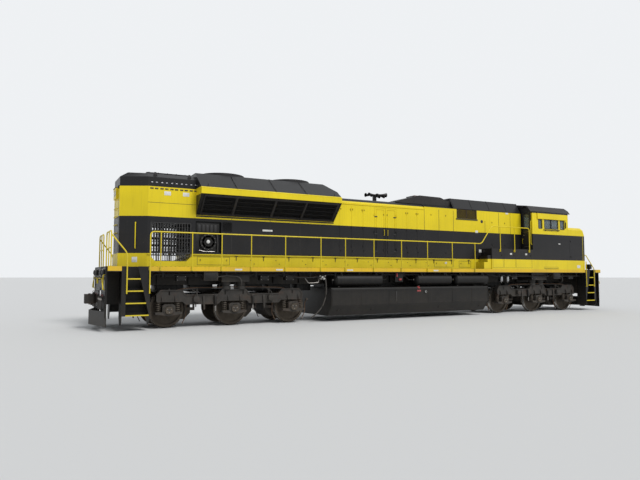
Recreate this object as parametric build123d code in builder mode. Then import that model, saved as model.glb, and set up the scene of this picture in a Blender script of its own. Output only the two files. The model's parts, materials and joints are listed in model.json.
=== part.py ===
from build123d import *
import os
from math import asin, cos, radians, sin

# Six-axle diesel locomotive. +X is forward (cab end), +Y its left side, +Z up.
# X = 0 is midway between the coupler faces and Z = 0 is the lowest edge of the wheel flanges.
os.makedirs("parts", exist_ok=True)

# Overall: half length over the platforms, half width of the body, deck height
platform_end = 10850
body_half_width = 1500
deck_top = 1865

# Places measured inwards from the platform ends
coupler_reach = 465
coupler_pivot_inset = 430
truck_overhang = 3850
well_inset = 370
hood_inset = 390
nose_inset = 1100

# Lengths of the body sections
rear_well_length = 790
front_well_length = 710
chamfer_length = 760
grille_margin = 90
grille_length = 1250
grille_post = 130
radiator_length = 4980
engine_hood_length = 4110
intake_hood_length = 1500
cab_rear_gap = 90
cab_length = 2320
nose_length = 1100
walkway_length = 2430

# Sheets, plates and clearances
plate = 20
sheet = 50
flat_gap = 0.3
running_clearance = 0.3
moving_gap = 8

# Wheels and axles
tread_diameter = 1067
tread_cone = 5
flange_height = 28
flange_tip = 18
flange_width = 32
wheel_back_to_back = 1353
wheel_width = 140
rim_depth = 75
web_thickness = 34
hub_diameter = 290
axle_diameter = 200
journal_diameter = 165
axle_cap_diameter = 236
axle_cap_length = 45

# Truck frames, heights above the axle centre
axle_spacing = 2070
frame_side_gap = 108.5
frame_thickness = 190
frame_end_reach = 360
frame_bottom_rise = 148.5
frame_over_box_rise = 238.5
frame_waist_rise = 458.5
frame_top_rise = 608.5
hump_half_length = 400
hump_slope = 120
arch_margin = 60
arch_slope = 90
beam_fillet = 40
beam_rib = 42
beam_pocket_depth = 15
transom_width = 400
transom_rise = 210
pivot_plate_half_width = 300
pivot_plate_thickness = 90
pivot_pin_diameter = 260
pivot_pin_clearance = 6
stack_offset = 250
stack_diameter = 300
stack_groove = 30
brake_cylinder_offset = 1240
brake_cylinder_diameter = 210
brake_cylinder_length = 120
brake_cylinder_rise = 320
shoe_thickness = 45
shoe_width = 86
shoe_half_angle = 17

# Axle boxes and coil springs
box_inset = 20
box_width = 285
box_half_length = 190
box_cover_diameter = 350
box_top_rise = 175
box_shoulder_rise = 120
wing_drop = 60
wing_thickness = 60
wing_tip_margin = 25
spring_offset = 290
spring_diameter = 165

# Traction motors
motor_radius = 330
motor_half_width = 560
motor_gap = 35
motor_bearing_wall = 60
motor_nose_half_width = 160
motor_nose_rise = 60
motor_nose_height = 220

# Underframe
sill_depth = 150
sill_thickness = 40
deck_plate = 40
centre_sill_half_width = 430
centre_sill_web = 180
centre_sill_depth = 415
bolster_half_length = 460
bolster_inset = 260
bolster_depth = 315
pivot_pin_length = 470
jack_pad_offset = 870
jack_pad_half_length = 220
jack_pad_depth = 265

# Couplers, draft pockets and pilots
coupler_height = 904
coupler_head_height = 280
coupler_outline = (
    # place behind the coupler face, distance to the left of an observer looking along the coupler
    (320, -75), (230, -170), (40, -190), (0, -150), (60, -110), (110, -60),
    (90, 30), (0, 40), (0, 130), (90, 180), (240, 150), (320, 75),
)
coupler_tail = 110
shank_front = 300
shank_half = 80
shank_half_width = 65
coupler_pin_radius = 45
pocket_length = 700
pocket_bottom = 740
pocket_ceiling = 1080
carrier_length = 70
carrier_bottom = 760
pilot_inset = 120
pilot_bottom = 330
coupler_slot_half = 330
coupler_slot_top = 1150
plough_reach = 310
plough_bottom = 150
plough_height = 430
plough_thickness = 30
plough_brace_y = 700
plough_brace_reach = 180
plough_brace_width = 40

# Corner steps
well_depth = 460
step_count = 4
step_rise = 349
tread_depth = 270
tread_thickness = 30
toe_guard = 60
stringer_bottom = 190
stringer_back_bottom = 420
stringer_cut = 120
outer_panel_width = 120
inner_panel_width = 350

# Air hoses: a row of looped hoses on each side of both pilots
hose_diameter = 44
hose_top = 1010
hose_low = 640
hose_span = 190
hose_reach = 80
hose_cock_length = 60
hose_places = (480, 730, 980)

# Fuel tank and air reservoirs
tank_truck_gap = 920
tank_top = 1180
tank_knee = 560
tank_bottom = 200
tank_knee_inset = 300
tank_edge_radius = 70
tank_hanger_inset = 300
reservoir_diameter = 440
reservoir_height = 1440
reservoir_inset = 260
dome_radius = 320
strap_inset = 300
strap_half_width = 30
strap_half_depth = 120
reservoirs = (
    # place from the tank's rear end, length
    (190, 2050),
    (3720, 1800),
    (5660, 1800),
)

# Hood base and hoods, heights above the deck
hood_half_width = 950
hood_rear_half = 560
base_step = 25
ledge_step = 60
base_height = 405
ledge_thickness = 36
rear_eave_height = 2735
rear_roof_rise = 140
rear_roof_inset = 224
hatch_margin = 180
hatch_half_width = 620
hatch_height = 55
hood_eave_height = 2445
hood_roof_rise = 120
hood_shoulder = 180
hood_shoulder_drop = 60
hood_roof_radius = 190
seam_pitch = 500
seam_width = 8
seam_depth = 6
cabinet_eave_height = 2475
cabinet_roof_rise = 430
cabinet_shoulder = 230
grille_recess_start = 180
grille_recess_length = 1100
grille_recess_height = 380
grille_recess_depth = 40

# Side cabinets and the steps up to the raised walkway
tall_cabinet_edge = 2115
tall_cabinet_top = 2295
tall_cabinet_slope = 170
walkway_step_count = 2
walkway_step_length = 200

# Brake grids' grilles
grille_bottom_height = 175
grille_top_height = 1375
grille_corner = 150
grille_frame = 40
grille_depth = 50
grille_setback = 12
grille_bar_count = 13
grille_bar_width = 26
grille_rail_height = 24

# End lights
rear_light_height = 2265
rear_light_half_width = 250
rear_light_half_height = 175
rear_light_depth = 70
lamp_diameter = 200
lamp_depth = 40
lamp_spacing = 230

# Radiator wings, intakes and the blower
wing_overhang = 50
wing_root_height = 1635
wing_rise = 620
wing_edge_height = 180
radiator_roof_rise = 560
radiator_roof_half = 800
roof_bevel_length = 360
roof_bevel_drop = 310
intake_edges = (110, 1170, 2520, 3640, 4870)
intake_border = 45
intake_bar = 70
intake_frame = 50
intake_thickness = 28
intake_recess = 60
blower_bay_length = 830
blower_bay_bottom = 455
blower_bay_top = 1445
blower_bay_depth = 120
blower_diameter = 540
blower_height = 795
blower_depth = 90

# Radiator fans
fan_places = (1115, 3605)
fan_well_diameter = 1420
fan_well_depth = 420
fan_ring_width = 60
fan_ring_height = 100
fan_tip_gap = 20
fan_blades = 8
fan_hub_diameter = 380
fan_hub_height = 220
fan_motor_diameter = 300
fan_motor_height = 180
blade_root_chord = 230
blade_tip_chord = 190
blade_root_thickness = 16
blade_tip_thickness = 8
blade_root_pitch = 38
blade_tip_pitch = 22
blade_hub_sink = 50
guard_hub_diameter = 260
guard_bar_count = 5
guard_bar_width = 24
guard_thickness = 20

# Doors and hinges
door_pair_place = 2250
door_width = 500
door_sill = 40
door_head = 180
door_gap = 6
door_thickness = 40
door_border = 60
door_bead = 30
door_emboss = 12
hinge_radius = 12
hinge_reach = 16
hinge_length = 45
hinge_leaf = 36
hinge_inset = 260

# Engine and alternator
engine_length = 3700
engine_rear_gap = 300
engine_side_gap = 170
engine_base_half_width = 420
crankcase_half_width = 480
crankcase_height = 635
head_height = 1435
engine_top_height = 1985
engine_valley_height = 1835
engine_top_half_width = 560
alternator_diameter = 1400
alternator_length = 1400
alternator_foot = 900

# Roof fairing
fairing_half_width = 760
fairing_rear_reach = 1190
fairing_rear_rise = 60
fairing_peak_rise = 350
fairing_shoulder_rise = 335
fairing_front_rise = 220
fairing_peak_place = 80
fairing_shoulder_place = 1080
fairing_front_place = 1320
exhaust_place = 420
exhaust_length = 760
exhaust_half_width = 230
exhaust_height = 70

# Cab
cab_wall = 60
cab_floor_height = 845
cab_side_height = 1660
cab_edge_rise = 270
cab_roof_rise = 100
cab_edge_inset = 200
cab_roof_flat = 600
cab_liner_half_width = 1262
cab_liner_rise = 230
cab_visor_reach = 160
cab_visor_slope = 270
cab_visor_drop = 220
window_sill_height = 940
window_height = 400
side_windows = ((380, 620), (760, 1660), (1790, 2070))
sunshade_start = 300
sunshade_length = 1890
sunshade_depth = 300
sunshade_top_reach = 30
sunshade_low_reach = 45
windshield_inner = 150
windshield_outer = 1250
windshield_sill = 1140
windshield_height = 590
nose_way_low_y = 150
nose_way_high_y = 900
nose_way_height = 940
cab_door_outer_inset = 98
cab_door_width = 435
cab_door_head = 30
cab_door_sill = 10
cab_door_frame = 90
cab_door_window_height = 610
cab_door_window_margin = 74
pane = 12
pane_inset = 30
jacking_recess_half_length = 450
jacking_recess_depth = 15
jacking_recess_height = 45

# Nose
nose_wall = 60
nose_rise = 1060
nose_bevel_length = 150
nose_bevel_drop = 350
nose_edge_chamfer = 110
nose_door_width = 650
nose_door_height = 1465

# Cab interior
seat_place = 1170
seat_half_spacing = 950
seat_post_radius = 90
seat_height = 400
seat_thickness = 120
seat_half = 250
seat_back_height = 750
desk_place = 1820
desk_length = 390
desk_outer = 120
desk_width = 900
desk_height = 900
nose_step_length = 230
nose_step_drop = 210

# Horn
horn_place = 2400
horn_post_half = 60
horn_rise = 370
horn_manifold_half = 260
horn_manifold_depth = 60
trumpet_throat = 24
trumpet_waist = 34
trumpet_flare = 60
trumpets = (
    # place along the manifold, direction, length, bell diameter
    (-200, 1, 420, 170),
    (-100, -1, 330, 150),
    (0, 1, 460, 190),
    (100, -1, 360, 160),
    (200, 1, 380, 160),
)

# Handrails
rail_diameter = 38
rail_sides = 8
rail_bend = 110
rail_stand_off = 35
rail_height = 1020
raised_rail_height = 910
raised_slope = 580
raised_rail_end = 250
rail_foot = 30
post_width = 32
post_thickness = 24
post_places = (300, 1230, 2150, 3120, 4310, 5630, 6600, 7790, 9010, 10230, 11460, 12650)
raised_post_places = (460, 1290)
pad_length = 60
pad_height = 100
rail_end_inset = 80
rail_end_gap = 380
rail_corner_inset = 60
grab_low = 1080
grab_knee = 375
front_grab_top = 655

# Derived stations along X
coupler_face = platform_end + coupler_reach
coupler_pivot = platform_end - coupler_pivot_inset
truck_centre = platform_end - truck_overhang
well_outer = platform_end - well_inset
rear_well_inner = well_outer - rear_well_length
front_well_inner = well_outer - front_well_length
hood_rear = -platform_end + hood_inset
hood_chamfer_start = hood_rear + chamfer_length
grille_rear = hood_chamfer_start + grille_margin
grille_front = grille_rear + grille_length
radiator_rear = grille_front + grille_post
radiator_front = radiator_rear + radiator_length
engine_hood_front = radiator_front + engine_hood_length
intake_hood_front = engine_hood_front + intake_hood_length
nose_front = platform_end - nose_inset
cab_front = nose_front - nose_length
cab_rear = cab_front - cab_length
cabinet_hood_front = cab_rear - cab_rear_gap
walkway_rear = cab_rear - walkway_length
tank_half_length = truck_centre - axle_spacing - frame_end_reach - tank_truck_gap

# Derived heights and widths
axle_height = flange_height + tread_diameter / 2
wheel_inner = wheel_back_to_back / 2
wheel_outer = wheel_inner + wheel_width
frame_inner = wheel_outer + frame_side_gap
frame_bottom = axle_height + frame_bottom_rise
frame_over_box = axle_height + frame_over_box_rise
frame_waist = axle_height + frame_waist_rise
frame_top = axle_height + frame_top_rise
box_inner = frame_inner - box_inset
box_outer = box_inner + box_width
wing_top = axle_height - wing_drop
spring_y = frame_inner + frame_thickness / 2
sill_bottom = deck_top - sill_depth
deck_underside = deck_top - deck_plate
centre_sill_bottom = sill_bottom - centre_sill_depth
bolster_bottom = sill_bottom - bolster_depth
bolster_half_width = body_half_width - bolster_inset
ledge_top = deck_top + base_height
base_half_width = hood_half_width + base_step
ledge_half_width = hood_half_width + ledge_step
hood_eave = deck_top + hood_eave_height
hood_roof_top = hood_eave + hood_roof_rise
rear_eave = deck_top + rear_eave_height
rear_roof_top = rear_eave + rear_roof_rise
cabinet_eave = deck_top + cabinet_eave_height
cabinet_roof_top = cabinet_eave + cabinet_roof_rise
grille_bottom = deck_top + grille_bottom_height
grille_top = deck_top + grille_top_height
wing_half_width = body_half_width + wing_overhang
wing_root = deck_top + wing_root_height
wing_lip = wing_root + wing_rise
wing_edge_top = wing_lip + wing_edge_height
radiator_roof_top = wing_edge_top + radiator_roof_rise
cab_floor = deck_top + cab_floor_height
cab_side_top = cab_floor + cab_side_height
cab_inner = body_half_width - cab_wall
cab_liner_top = cab_side_top + cab_liner_rise
window_bottom = cab_floor + window_sill_height
window_top = window_bottom + window_height
nose_top = cab_floor + nose_rise
door_bottom = ledge_top + door_sill
door_top = hood_eave - door_head

truck_positions = (("rear", -truck_centre), ("front", truck_centre))
axle_offsets = (-axle_spacing, 0, axle_spacing)
both_ends = (("rear", -1), ("front", 1))
sides = (-1, 1)


def bar(x_limits, y_limits, z_limits, mode=Mode.ADD):
    """One straight bar or plate between three pairs of limits, in the part being built."""
    low = Vector(min(x_limits), min(y_limits), min(z_limits))
    high = Vector(max(x_limits), max(y_limits), max(z_limits))
    size = high - low
    with Locations((low + high) * 0.5):
        Box(size.X, size.Y, size.Z, mode=mode)


def side_planes(x, inner, thickness):
    """Upright planes at both sides; a sketch drawn there is extruded by the thickness."""
    right = Plane((x, -inner, 0), x_dir=(1, 0, 0), z_dir=(0, -1, 0))
    left = Plane((x, inner + thickness, 0), x_dir=(1, 0, 0), z_dir=(0, -1, 0))
    return right, left


def cross_plane(x):
    """Upright plane across the body: its first direction is +Y, its second is +Z."""
    return Plane((x, 0, 0), x_dir=(0, 1, 0), z_dir=(1, 0, 0))


def half_outline(points):
    """Closed face from the points of its +Y (or +X) half, mirrored about the upright middle."""
    with BuildLine() as outline:
        Polyline(*points)
        mirror(about=Plane.YZ)
    make_face(outline.edges())


def outline_face(points):
    """Closed face from all its points."""
    with BuildLine() as outline:
        Polyline(*points, close=True)
    make_face(outline.edges())


def disc(x, y, z, radius, height, mode=Mode.ADD):
    """Upright round boss or hole from the height z, in the part being built."""
    with BuildSketch(Plane((x, y, z))) as circle:
        Circle(radius)
    extrude(circle.sketch, amount=height, mode=mode)


def save(builder, label):
    builder.part.label = label
    export_step(builder.part, f"parts/{label}.step")


def hinge_knuckles(x, y, face, heights, upper):
    """Hinge knuckles on an upright axis; a door carries the upper ones and its frame the lower ones."""
    face_x, face_y = face
    for height in heights:
        low = height + (running_clearance / 2 if upper else -hinge_length)
        with BuildSketch(Plane.XY.offset(low)) as knuckle:
            with Locations((x, y)):
                Circle(hinge_radius)
            with Locations(((x + face_x) / 2, (y + face_y) / 2)):
                Rectangle(abs(x - face_x), abs(y - face_y))
        extrude(knuckle.sketch, amount=hinge_length - (0 if upper else running_clearance / 2))


def make_tube(points, diameter, bend):
    """Tube of flat-sided section along straight runs joined by arcs, in the part being built."""
    with BuildLine() as route:
        FilletPolyline(*points, radius=bend)
    with BuildSketch(Plane(route.wire() @ 0, z_dir=route.wire() % 0)) as section:
        RegularPolygon(diameter / 2, rail_sides)
    sweep(section.sketch, path=route.wire())


# Underframe: deck plate with four step wells, side sills, centre sill, bolsters and draft pockets
step_wells = (
    # end, inner edge, outer edge
    (-1, rear_well_inner, well_outer),
    (1, front_well_inner, well_outer),
)


def deck_outline():
    Rectangle(2 * platform_end, 2 * body_half_width)
    for end, inner, outer in step_wells:
        for side in sides:
            with Locations((end * (inner + outer) / 2, side * (body_half_width - well_depth / 2))):
                Rectangle(outer - inner, well_depth, mode=Mode.SUBTRACT)


with BuildPart() as underframe:
    with BuildSketch(Plane.XY.offset(sill_bottom)):
        deck_outline()
    extrude(amount=sill_depth)
    with BuildSketch(Plane.XY.offset(sill_bottom)):
        deck_outline()
        offset(amount=-sill_thickness, kind=Kind.INTERSECTION, mode=Mode.REPLACE)
    extrude(amount=deck_underside - sill_bottom, mode=Mode.SUBTRACT)
    frame_end = platform_end - sill_thickness
    web_inner = centre_sill_half_width - centre_sill_web
    for side in sides:
        bar((-frame_end, frame_end), (side * web_inner, side * centre_sill_half_width),
            (centre_sill_bottom, deck_underside))
    for name, truck_x in truck_positions:
        end = 1 if truck_x > 0 else -1
        bar((truck_x - bolster_half_length, truck_x + bolster_half_length),
            (-bolster_half_width, bolster_half_width), (bolster_bottom, deck_underside))
        disc(truck_x, 0, bolster_bottom - pivot_pin_length, pivot_pin_diameter / 2, pivot_pin_length)
        pad_x = truck_x + end * jack_pad_offset
        for side in sides:
            bar((pad_x - jack_pad_half_length, pad_x + jack_pad_half_length),
                (side * bolster_half_width, side * (body_half_width - sill_thickness)),
                (sill_bottom - jack_pad_depth, deck_underside))
        pocket_x = (end * (platform_end - pocket_length), end * frame_end)
        for side in sides:
            bar(pocket_x, (side * web_inner, side * centre_sill_half_width),
                (pocket_bottom, centre_sill_bottom))
        bar(pocket_x, (-web_inner, web_inner), (pocket_ceiling, centre_sill_bottom))
        bar((end * (frame_end - carrier_length), end * frame_end), (-web_inner, web_inner),
            (carrier_bottom, coupler_height - shank_half - flat_gap))
        disc(end * coupler_pivot, 0, coupler_height - coupler_head_height / 2, coupler_pin_radius,
             pocket_ceiling - coupler_height + coupler_head_height / 2)
save(underframe, "underframe")


# Pilots: end sheet with the coupler opening and the plough blade below it
def make_pilot(end):
    half_width = body_half_width - pilot_inset
    tip = platform_end + plough_reach
    with BuildPart() as pilot:
        sheet_x = (end * platform_end, end * (platform_end + 2 * plate))
        bar(sheet_x, (-half_width, half_width), (pilot_bottom, deck_top))
        bar(sheet_x, (-coupler_slot_half, coupler_slot_half), (pilot_bottom, coupler_slot_top),
            mode=Mode.SUBTRACT)
        with BuildSketch(Plane.XY.offset(plough_bottom)) as blade:
            outline_face(((end * tip, 0), (end * platform_end, half_width),
                          (end * (platform_end + plough_thickness), half_width),
                          (end * (tip + plough_thickness), 0),
                          (end * (platform_end + plough_thickness), -half_width),
                          (end * platform_end, -half_width)))
        extrude(blade.sketch, amount=plough_height)
        for side in sides:
            bar((end * platform_end, end * (platform_end + plough_brace_reach)),
                (side * (plough_brace_y - plough_brace_width), side * plough_brace_y),
                (pilot_bottom, plough_bottom + plough_height))
    return pilot


for name, end in both_ends:
    pilot = make_pilot(end)
    save(pilot, f"pilot_{name}")


# Air hoses: each hangs in a loop between its cock and the hook beside it, both on the pilot
def make_hoses(end):
    face_x = end * (platform_end + 2 * plate)
    hose_x = face_x + end * hose_reach
    bend_z = hose_low + hose_span / 2
    with BuildPart() as hoses:
        for side in sides:
            for near in hose_places:
                middle = near + hose_span / 2
                far = near + hose_span
                with BuildLine() as route:
                    Line((hose_x, side * near, hose_top), (hose_x, side * near, bend_z))
                    ThreePointArc((hose_x, side * near, bend_z), (hose_x, side * middle, hose_low),
                                  (hose_x, side * far, bend_z))
                    Line((hose_x, side * far, bend_z), (hose_x, side * far, hose_top))
                with BuildSketch(Plane((hose_x, side * near, hose_top))) as section:
                    RegularPolygon(hose_diameter / 2, rail_sides)
                sweep(section.sketch, path=route.wire())
                for y in (near, far):
                    bar((face_x, hose_x), (side * y - hose_diameter / 2, side * y + hose_diameter / 2),
                        (hose_top - hose_cock_length, hose_top))
    return hoses


for name, end in both_ends:
    hoses = make_hoses(end)
    save(hoses, f"air_hoses_{name}")


# Corner steps: stringers, outer panels, a back plate and the treads on each side of one end
def make_steps(end, inner, outer):
    back = body_half_width - well_depth
    step_heights = [deck_top - number * step_rise for number in range(1, step_count + 1)]
    with BuildPart() as steps:
        for side in sides:
            for x in (min(end * inner, end * outer), max(end * inner, end * outer) - plate):
                with BuildSketch(cross_plane(x)) as stringer:
                    outline_face(((side * back, deck_top), (side * body_half_width, deck_top),
                                  (side * body_half_width, stringer_bottom + stringer_cut),
                                  (side * (body_half_width - stringer_cut), stringer_bottom),
                                  (side * (back + stringer_cut), stringer_bottom),
                                  (side * back, stringer_back_bottom)))
                extrude(stringer.sketch, amount=plate)
            bar((end * inner, end * outer), (side * back, side * (back + plate)),
                (stringer_back_bottom, deck_top))
            panel_plane = Plane((0, side * body_half_width, 0), x_dir=(1, 0, 0), z_dir=(0, -1, 0))
            with BuildSketch(panel_plane) as panels:
                outline_face(((end * outer, deck_top), (end * (outer - outer_panel_width), deck_top),
                              (end * (outer - outer_panel_width), step_heights[-1] - tread_thickness),
                              (end * outer, step_heights[-1] - tread_thickness)))
                outline_face(((end * inner, deck_top), (end * (inner + inner_panel_width), deck_top),
                              (end * (inner + plate), step_heights[-1] - tread_thickness),
                              (end * inner, step_heights[-1] - tread_thickness)))
            extrude(panels.sketch, amount=side * plate)
            tread_x = (end * (inner + plate), end * (outer - plate))
            for height in step_heights:
                bar(tread_x, (side * (body_half_width - tread_depth), side * body_half_width),
                    (height - tread_thickness, height))
                bar(tread_x, (side * (body_half_width - tread_depth - plate / 2),
                              side * (body_half_width - tread_depth + plate / 2)),
                    (height - tread_thickness, height + toe_guard))
    return steps


for name, (end, inner, outer) in zip(("rear", "front"), step_wells):
    steps = make_steps(end, inner, outer)
    save(steps, f"steps_{name}")


# Handrails: one bent tube with stanchions on pads against the side sill
rail_y = body_half_width + rail_stand_off
top_rail = deck_top + rail_height
raised_rail = cab_floor + raised_rail_height
post_foot = sill_bottom + rail_foot
raised_foot = cab_floor - pad_height - rail_foot
rail_rear = -(rear_well_inner + rail_diameter / 2)
right_rail_front = cab_rear - raised_rail_end
left_rail_front = intake_hood_front - pad_length


def rail_pad(x, side, foot):
    bar((x - pad_length / 2, x + pad_length / 2),
        (side * body_half_width, side * (rail_y - post_thickness / 2)), (foot, foot + pad_height))


def make_side_rail(side, points, posts):
    with BuildPart() as rail:
        make_tube([(x, side * rail_y, z) for x, z in points], rail_diameter, rail_bend)
        for x, foot, top in posts:
            bar((x - post_width / 2, x + post_width / 2),
                (side * (rail_y - post_thickness / 2), side * (rail_y + post_thickness / 2)), (foot, top))
            rail_pad(x, side, foot)
        for x, z in (points[0], points[-1]):
            rail_pad(x, side, z)
    return rail


level_posts = [(rail_rear + place, post_foot, top_rail) for place in post_places]
raised_posts = [(walkway_rear + place, raised_foot, raised_rail) for place in raised_post_places]
slope_top = walkway_rear - plate
handrail_right = make_side_rail(
    -1,
    ((rail_rear, post_foot), (rail_rear, top_rail), (slope_top - raised_slope, top_rail),
     (slope_top, raised_rail), (right_rail_front, raised_rail), (right_rail_front, raised_foot)),
    [post for post in level_posts if post[0] < slope_top - raised_slope] + raised_posts)
save(handrail_right, "handrail_right")
handrail_left = make_side_rail(
    1,
    ((rail_rear, post_foot), (rail_rear, top_rail), (left_rail_front, top_rail),
     (left_rail_front, post_foot)),
    [post for post in level_posts if post[0] < left_rail_front - rail_bend])
save(handrail_left, "handrail_left")


# End rails: grab rails beside the steps, the uncoupling levers and, at the rear, rails along the platform
def grab_bracket(x, side):
    outer = body_half_width + rail_stand_off
    bar((x - plate / 2, x + plate / 2), (side * body_half_width, side * outer),
        (grab_low, grab_low + 2 * plate))


def make_end_rail(end, inner):
    edge_x = end * (platform_end - rail_end_inset)
    corner_y = body_half_width - rail_corner_inset
    knee_z = deck_top + grab_knee
    outer_x = end * (well_outer - outer_panel_width - plate)
    inner_x = end * (inner + rail_diameter / 2)
    with BuildPart() as rails:
        for side in sides:
            if end < 0:
                make_tube(((edge_x, side * rail_end_gap, deck_top), (edge_x, side * rail_end_gap, top_rail),
                           (edge_x, side * corner_y, top_rail), (edge_x, side * corner_y, deck_top)),
                          rail_diameter, rail_bend)
                start = (edge_x, side * corner_y, top_rail - rail_bend)
                make_tube((start, (outer_x, side * rail_y, knee_z), (outer_x, side * rail_y, grab_low)),
                          rail_diameter, rail_bend)
                low_top = post_foot - flat_gap
            else:
                start = (nose_front + rail_diameter, side * rail_y, deck_top + front_grab_top)
                make_tube((start, (outer_x, side * rail_y, deck_top + rail_diameter),
                           (outer_x, side * rail_y, grab_low)), rail_diameter, rail_bend)
                low_top = knee_z
                bar((nose_front - plate, start[0]), (side * body_half_width, side * rail_y),
                    (start[2] - plate, start[2] + plate))
            with BuildSketch(Plane((inner_x, side * rail_y, grab_low))) as upright:
                RegularPolygon(rail_diameter / 2, rail_sides)
            extrude(upright.sketch, amount=low_top - grab_low)
            for x in (outer_x, inner_x):
                grab_bracket(x, side)
    return rails


for (name, end), (well_end, inner, outer) in zip(both_ends, step_wells):
    end_rail = make_end_rail(end, inner)
    save(end_rail, f"end_rail_{name}")


# Fuel tank: one long section with sloped lower sides, hung from the centre sill
with BuildPart() as fuel_tank:
    with BuildSketch(cross_plane(-tank_half_length)):
        half_outline(((0, tank_bottom), (body_half_width - tank_knee_inset, tank_bottom),
                      (body_half_width, tank_knee), (body_half_width, tank_top), (0, tank_top)))
    extrude(amount=2 * tank_half_length)
    fillet(fuel_tank.edges().filter_by(Axis.X).group_by(Axis.Z)[-1], radius=tank_edge_radius)
    hanger_half = tank_half_length - tank_hanger_inset
    bar((-hanger_half, hanger_half), (-centre_sill_half_width, centre_sill_half_width),
        (tank_top, centre_sill_bottom))
save(fuel_tank, "fuel_tank")

# Air reservoirs: long drums with domed ends on hanger straps below the side sills
dome_turn = asin(reservoir_diameter / 2 / dome_radius)
dome_depth = dome_radius * (1 - cos(dome_turn))
bulge_x = dome_radius * (1 - cos(dome_turn / 2))
bulge_z = dome_radius * sin(dome_turn / 2)
with BuildPart() as air_reservoirs:
    for side in sides:
        y = side * (body_half_width - reservoir_inset)
        for place, length in reservoirs:
            start = -tank_half_length + place
            with BuildSketch(Plane((start, y, reservoir_height), x_dir=(1, 0, 0), z_dir=(0, -1, 0))):
                with BuildLine():
                    Line((0, 0), (length, 0))
                    ThreePointArc((length, 0), (length - bulge_x, bulge_z),
                                  (length - dome_depth, reservoir_diameter / 2))
                    Line((length - dome_depth, reservoir_diameter / 2), (dome_depth, reservoir_diameter / 2))
                    ThreePointArc((dome_depth, reservoir_diameter / 2), (bulge_x, bulge_z), (0, 0))
                make_face()
            revolve(axis=Axis((start, y, reservoir_height), (1, 0, 0)))
            for x in (start + strap_inset, start + length - strap_inset):
                bar((x - strap_half_width, x + strap_half_width),
                    (y - strap_half_depth, y + strap_half_depth), (reservoir_height, deck_underside))
save(air_reservoirs, "air_reservoirs")


# Hood base: walls under the hood with a projecting ledge, open inside where the engine stands
def hood_plan(half_width, front):
    rear = hood_rear - (half_width - hood_half_width)
    half_outline_x = ((rear, hood_rear_half), (hood_chamfer_start, half_width), (front, half_width))
    mirrored = [(x, -y) for x, y in reversed(half_outline_x)]
    outline_face((*half_outline_x, *mirrored))


with BuildPart() as hood_base:
    with BuildSketch(Plane.XY.offset(deck_top)):
        hood_plan(base_half_width, cabinet_hood_front)
    extrude(amount=base_height - ledge_thickness)
    with BuildSketch(Plane.XY.offset(ledge_top - ledge_thickness)):
        hood_plan(base_half_width, cabinet_hood_front)
        with Locations(((hood_chamfer_start + intake_hood_front) / 2, 0)):
            Rectangle(intake_hood_front - hood_chamfer_start, 2 * ledge_half_width)
    extrude(amount=ledge_thickness)
    room_half = hood_half_width - sheet
    bar((radiator_front, intake_hood_front), (-room_half, room_half), (deck_top, ledge_top),
        mode=Mode.SUBTRACT)
    with BuildSketch(*side_planes(0, 0, ledge_half_width)):
        outline_face(((grille_rear, ledge_top), (grille_rear, grille_bottom + grille_corner),
                      (grille_rear + grille_corner, grille_bottom),
                      (grille_front - grille_corner, grille_bottom),
                      (grille_front, grille_bottom + grille_corner), (grille_front, ledge_top)))
    extrude(amount=ledge_half_width, mode=Mode.SUBTRACT)
save(hood_base, "hood_base")

# Rear hood: chamfered end section with the through opening of the brake grids and a tapered roof
with BuildPart() as rear_hood:
    with BuildSketch(Plane.XY.offset(ledge_top)):
        hood_plan(hood_half_width, radiator_rear)
    extrude(amount=rear_eave - ledge_top)
    with BuildSketch(Plane.XY.offset(rear_eave)):
        hood_plan(hood_half_width, radiator_rear)
    with BuildSketch(Plane.XY.offset(rear_roof_top)):
        hood_plan(hood_half_width - rear_roof_inset, radiator_rear)
    loft()
    bar((hood_chamfer_start, radiator_rear - hatch_margin), (-hatch_half_width, hatch_half_width),
        (rear_roof_top, rear_roof_top + hatch_height))
    bar((grille_rear, grille_front), (-hood_half_width, hood_half_width), (ledge_top, grille_top),
        mode=Mode.SUBTRACT)
    light_z = deck_top + rear_light_height
    bar((hood_rear - rear_light_depth, hood_rear), (-rear_light_half_width, rear_light_half_width),
        (light_z - rear_light_half_height, light_z + rear_light_half_height))
    for side in sides:
        lamp_place = Plane((hood_rear - rear_light_depth, side * lamp_spacing / 2, light_z), z_dir=(1, 0, 0))
        with BuildSketch(lamp_place):
            Circle(lamp_diameter / 2)
        extrude(amount=lamp_depth, mode=Mode.SUBTRACT)
save(rear_hood, "rear_hood")

# Brake grilles: a frame with upright bars and one rail in each side of the opening
with BuildPart() as brake_grilles:
    bar_pitch = (grille_length - 2 * grille_frame) / (grille_bar_count + 1)
    for side in sides:
        outer = side * (hood_half_width - grille_setback)
        inner = side * (hood_half_width - grille_setback - grille_depth)
        bar((grille_rear, grille_front), (outer, inner), (ledge_top, grille_top))
        bar((grille_rear + grille_frame, grille_front - grille_frame), (outer, inner),
            (ledge_top + grille_frame, grille_top - grille_frame), mode=Mode.SUBTRACT)
        for number in range(grille_bar_count):
            x = grille_rear + grille_frame + (number + 1) * bar_pitch
            bar((x - grille_bar_width / 2, x + grille_bar_width / 2), (outer, inner),
                (ledge_top + grille_frame, grille_top - grille_frame))
        rail_z = (ledge_top + grille_top) / 2
        bar((grille_rear + grille_frame, grille_front - grille_frame), (outer, inner),
            (rail_z - grille_rail_height / 2, rail_z + grille_rail_height / 2))
save(brake_grilles, "brake_grilles")

# Radiator section: straight hood sides that flare into wings, a sloped roof and two fan wells
slope = Vector(0, wing_half_width - hood_half_width, wing_rise)
intake_length = intake_edges[-1] - intake_edges[0]


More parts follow.
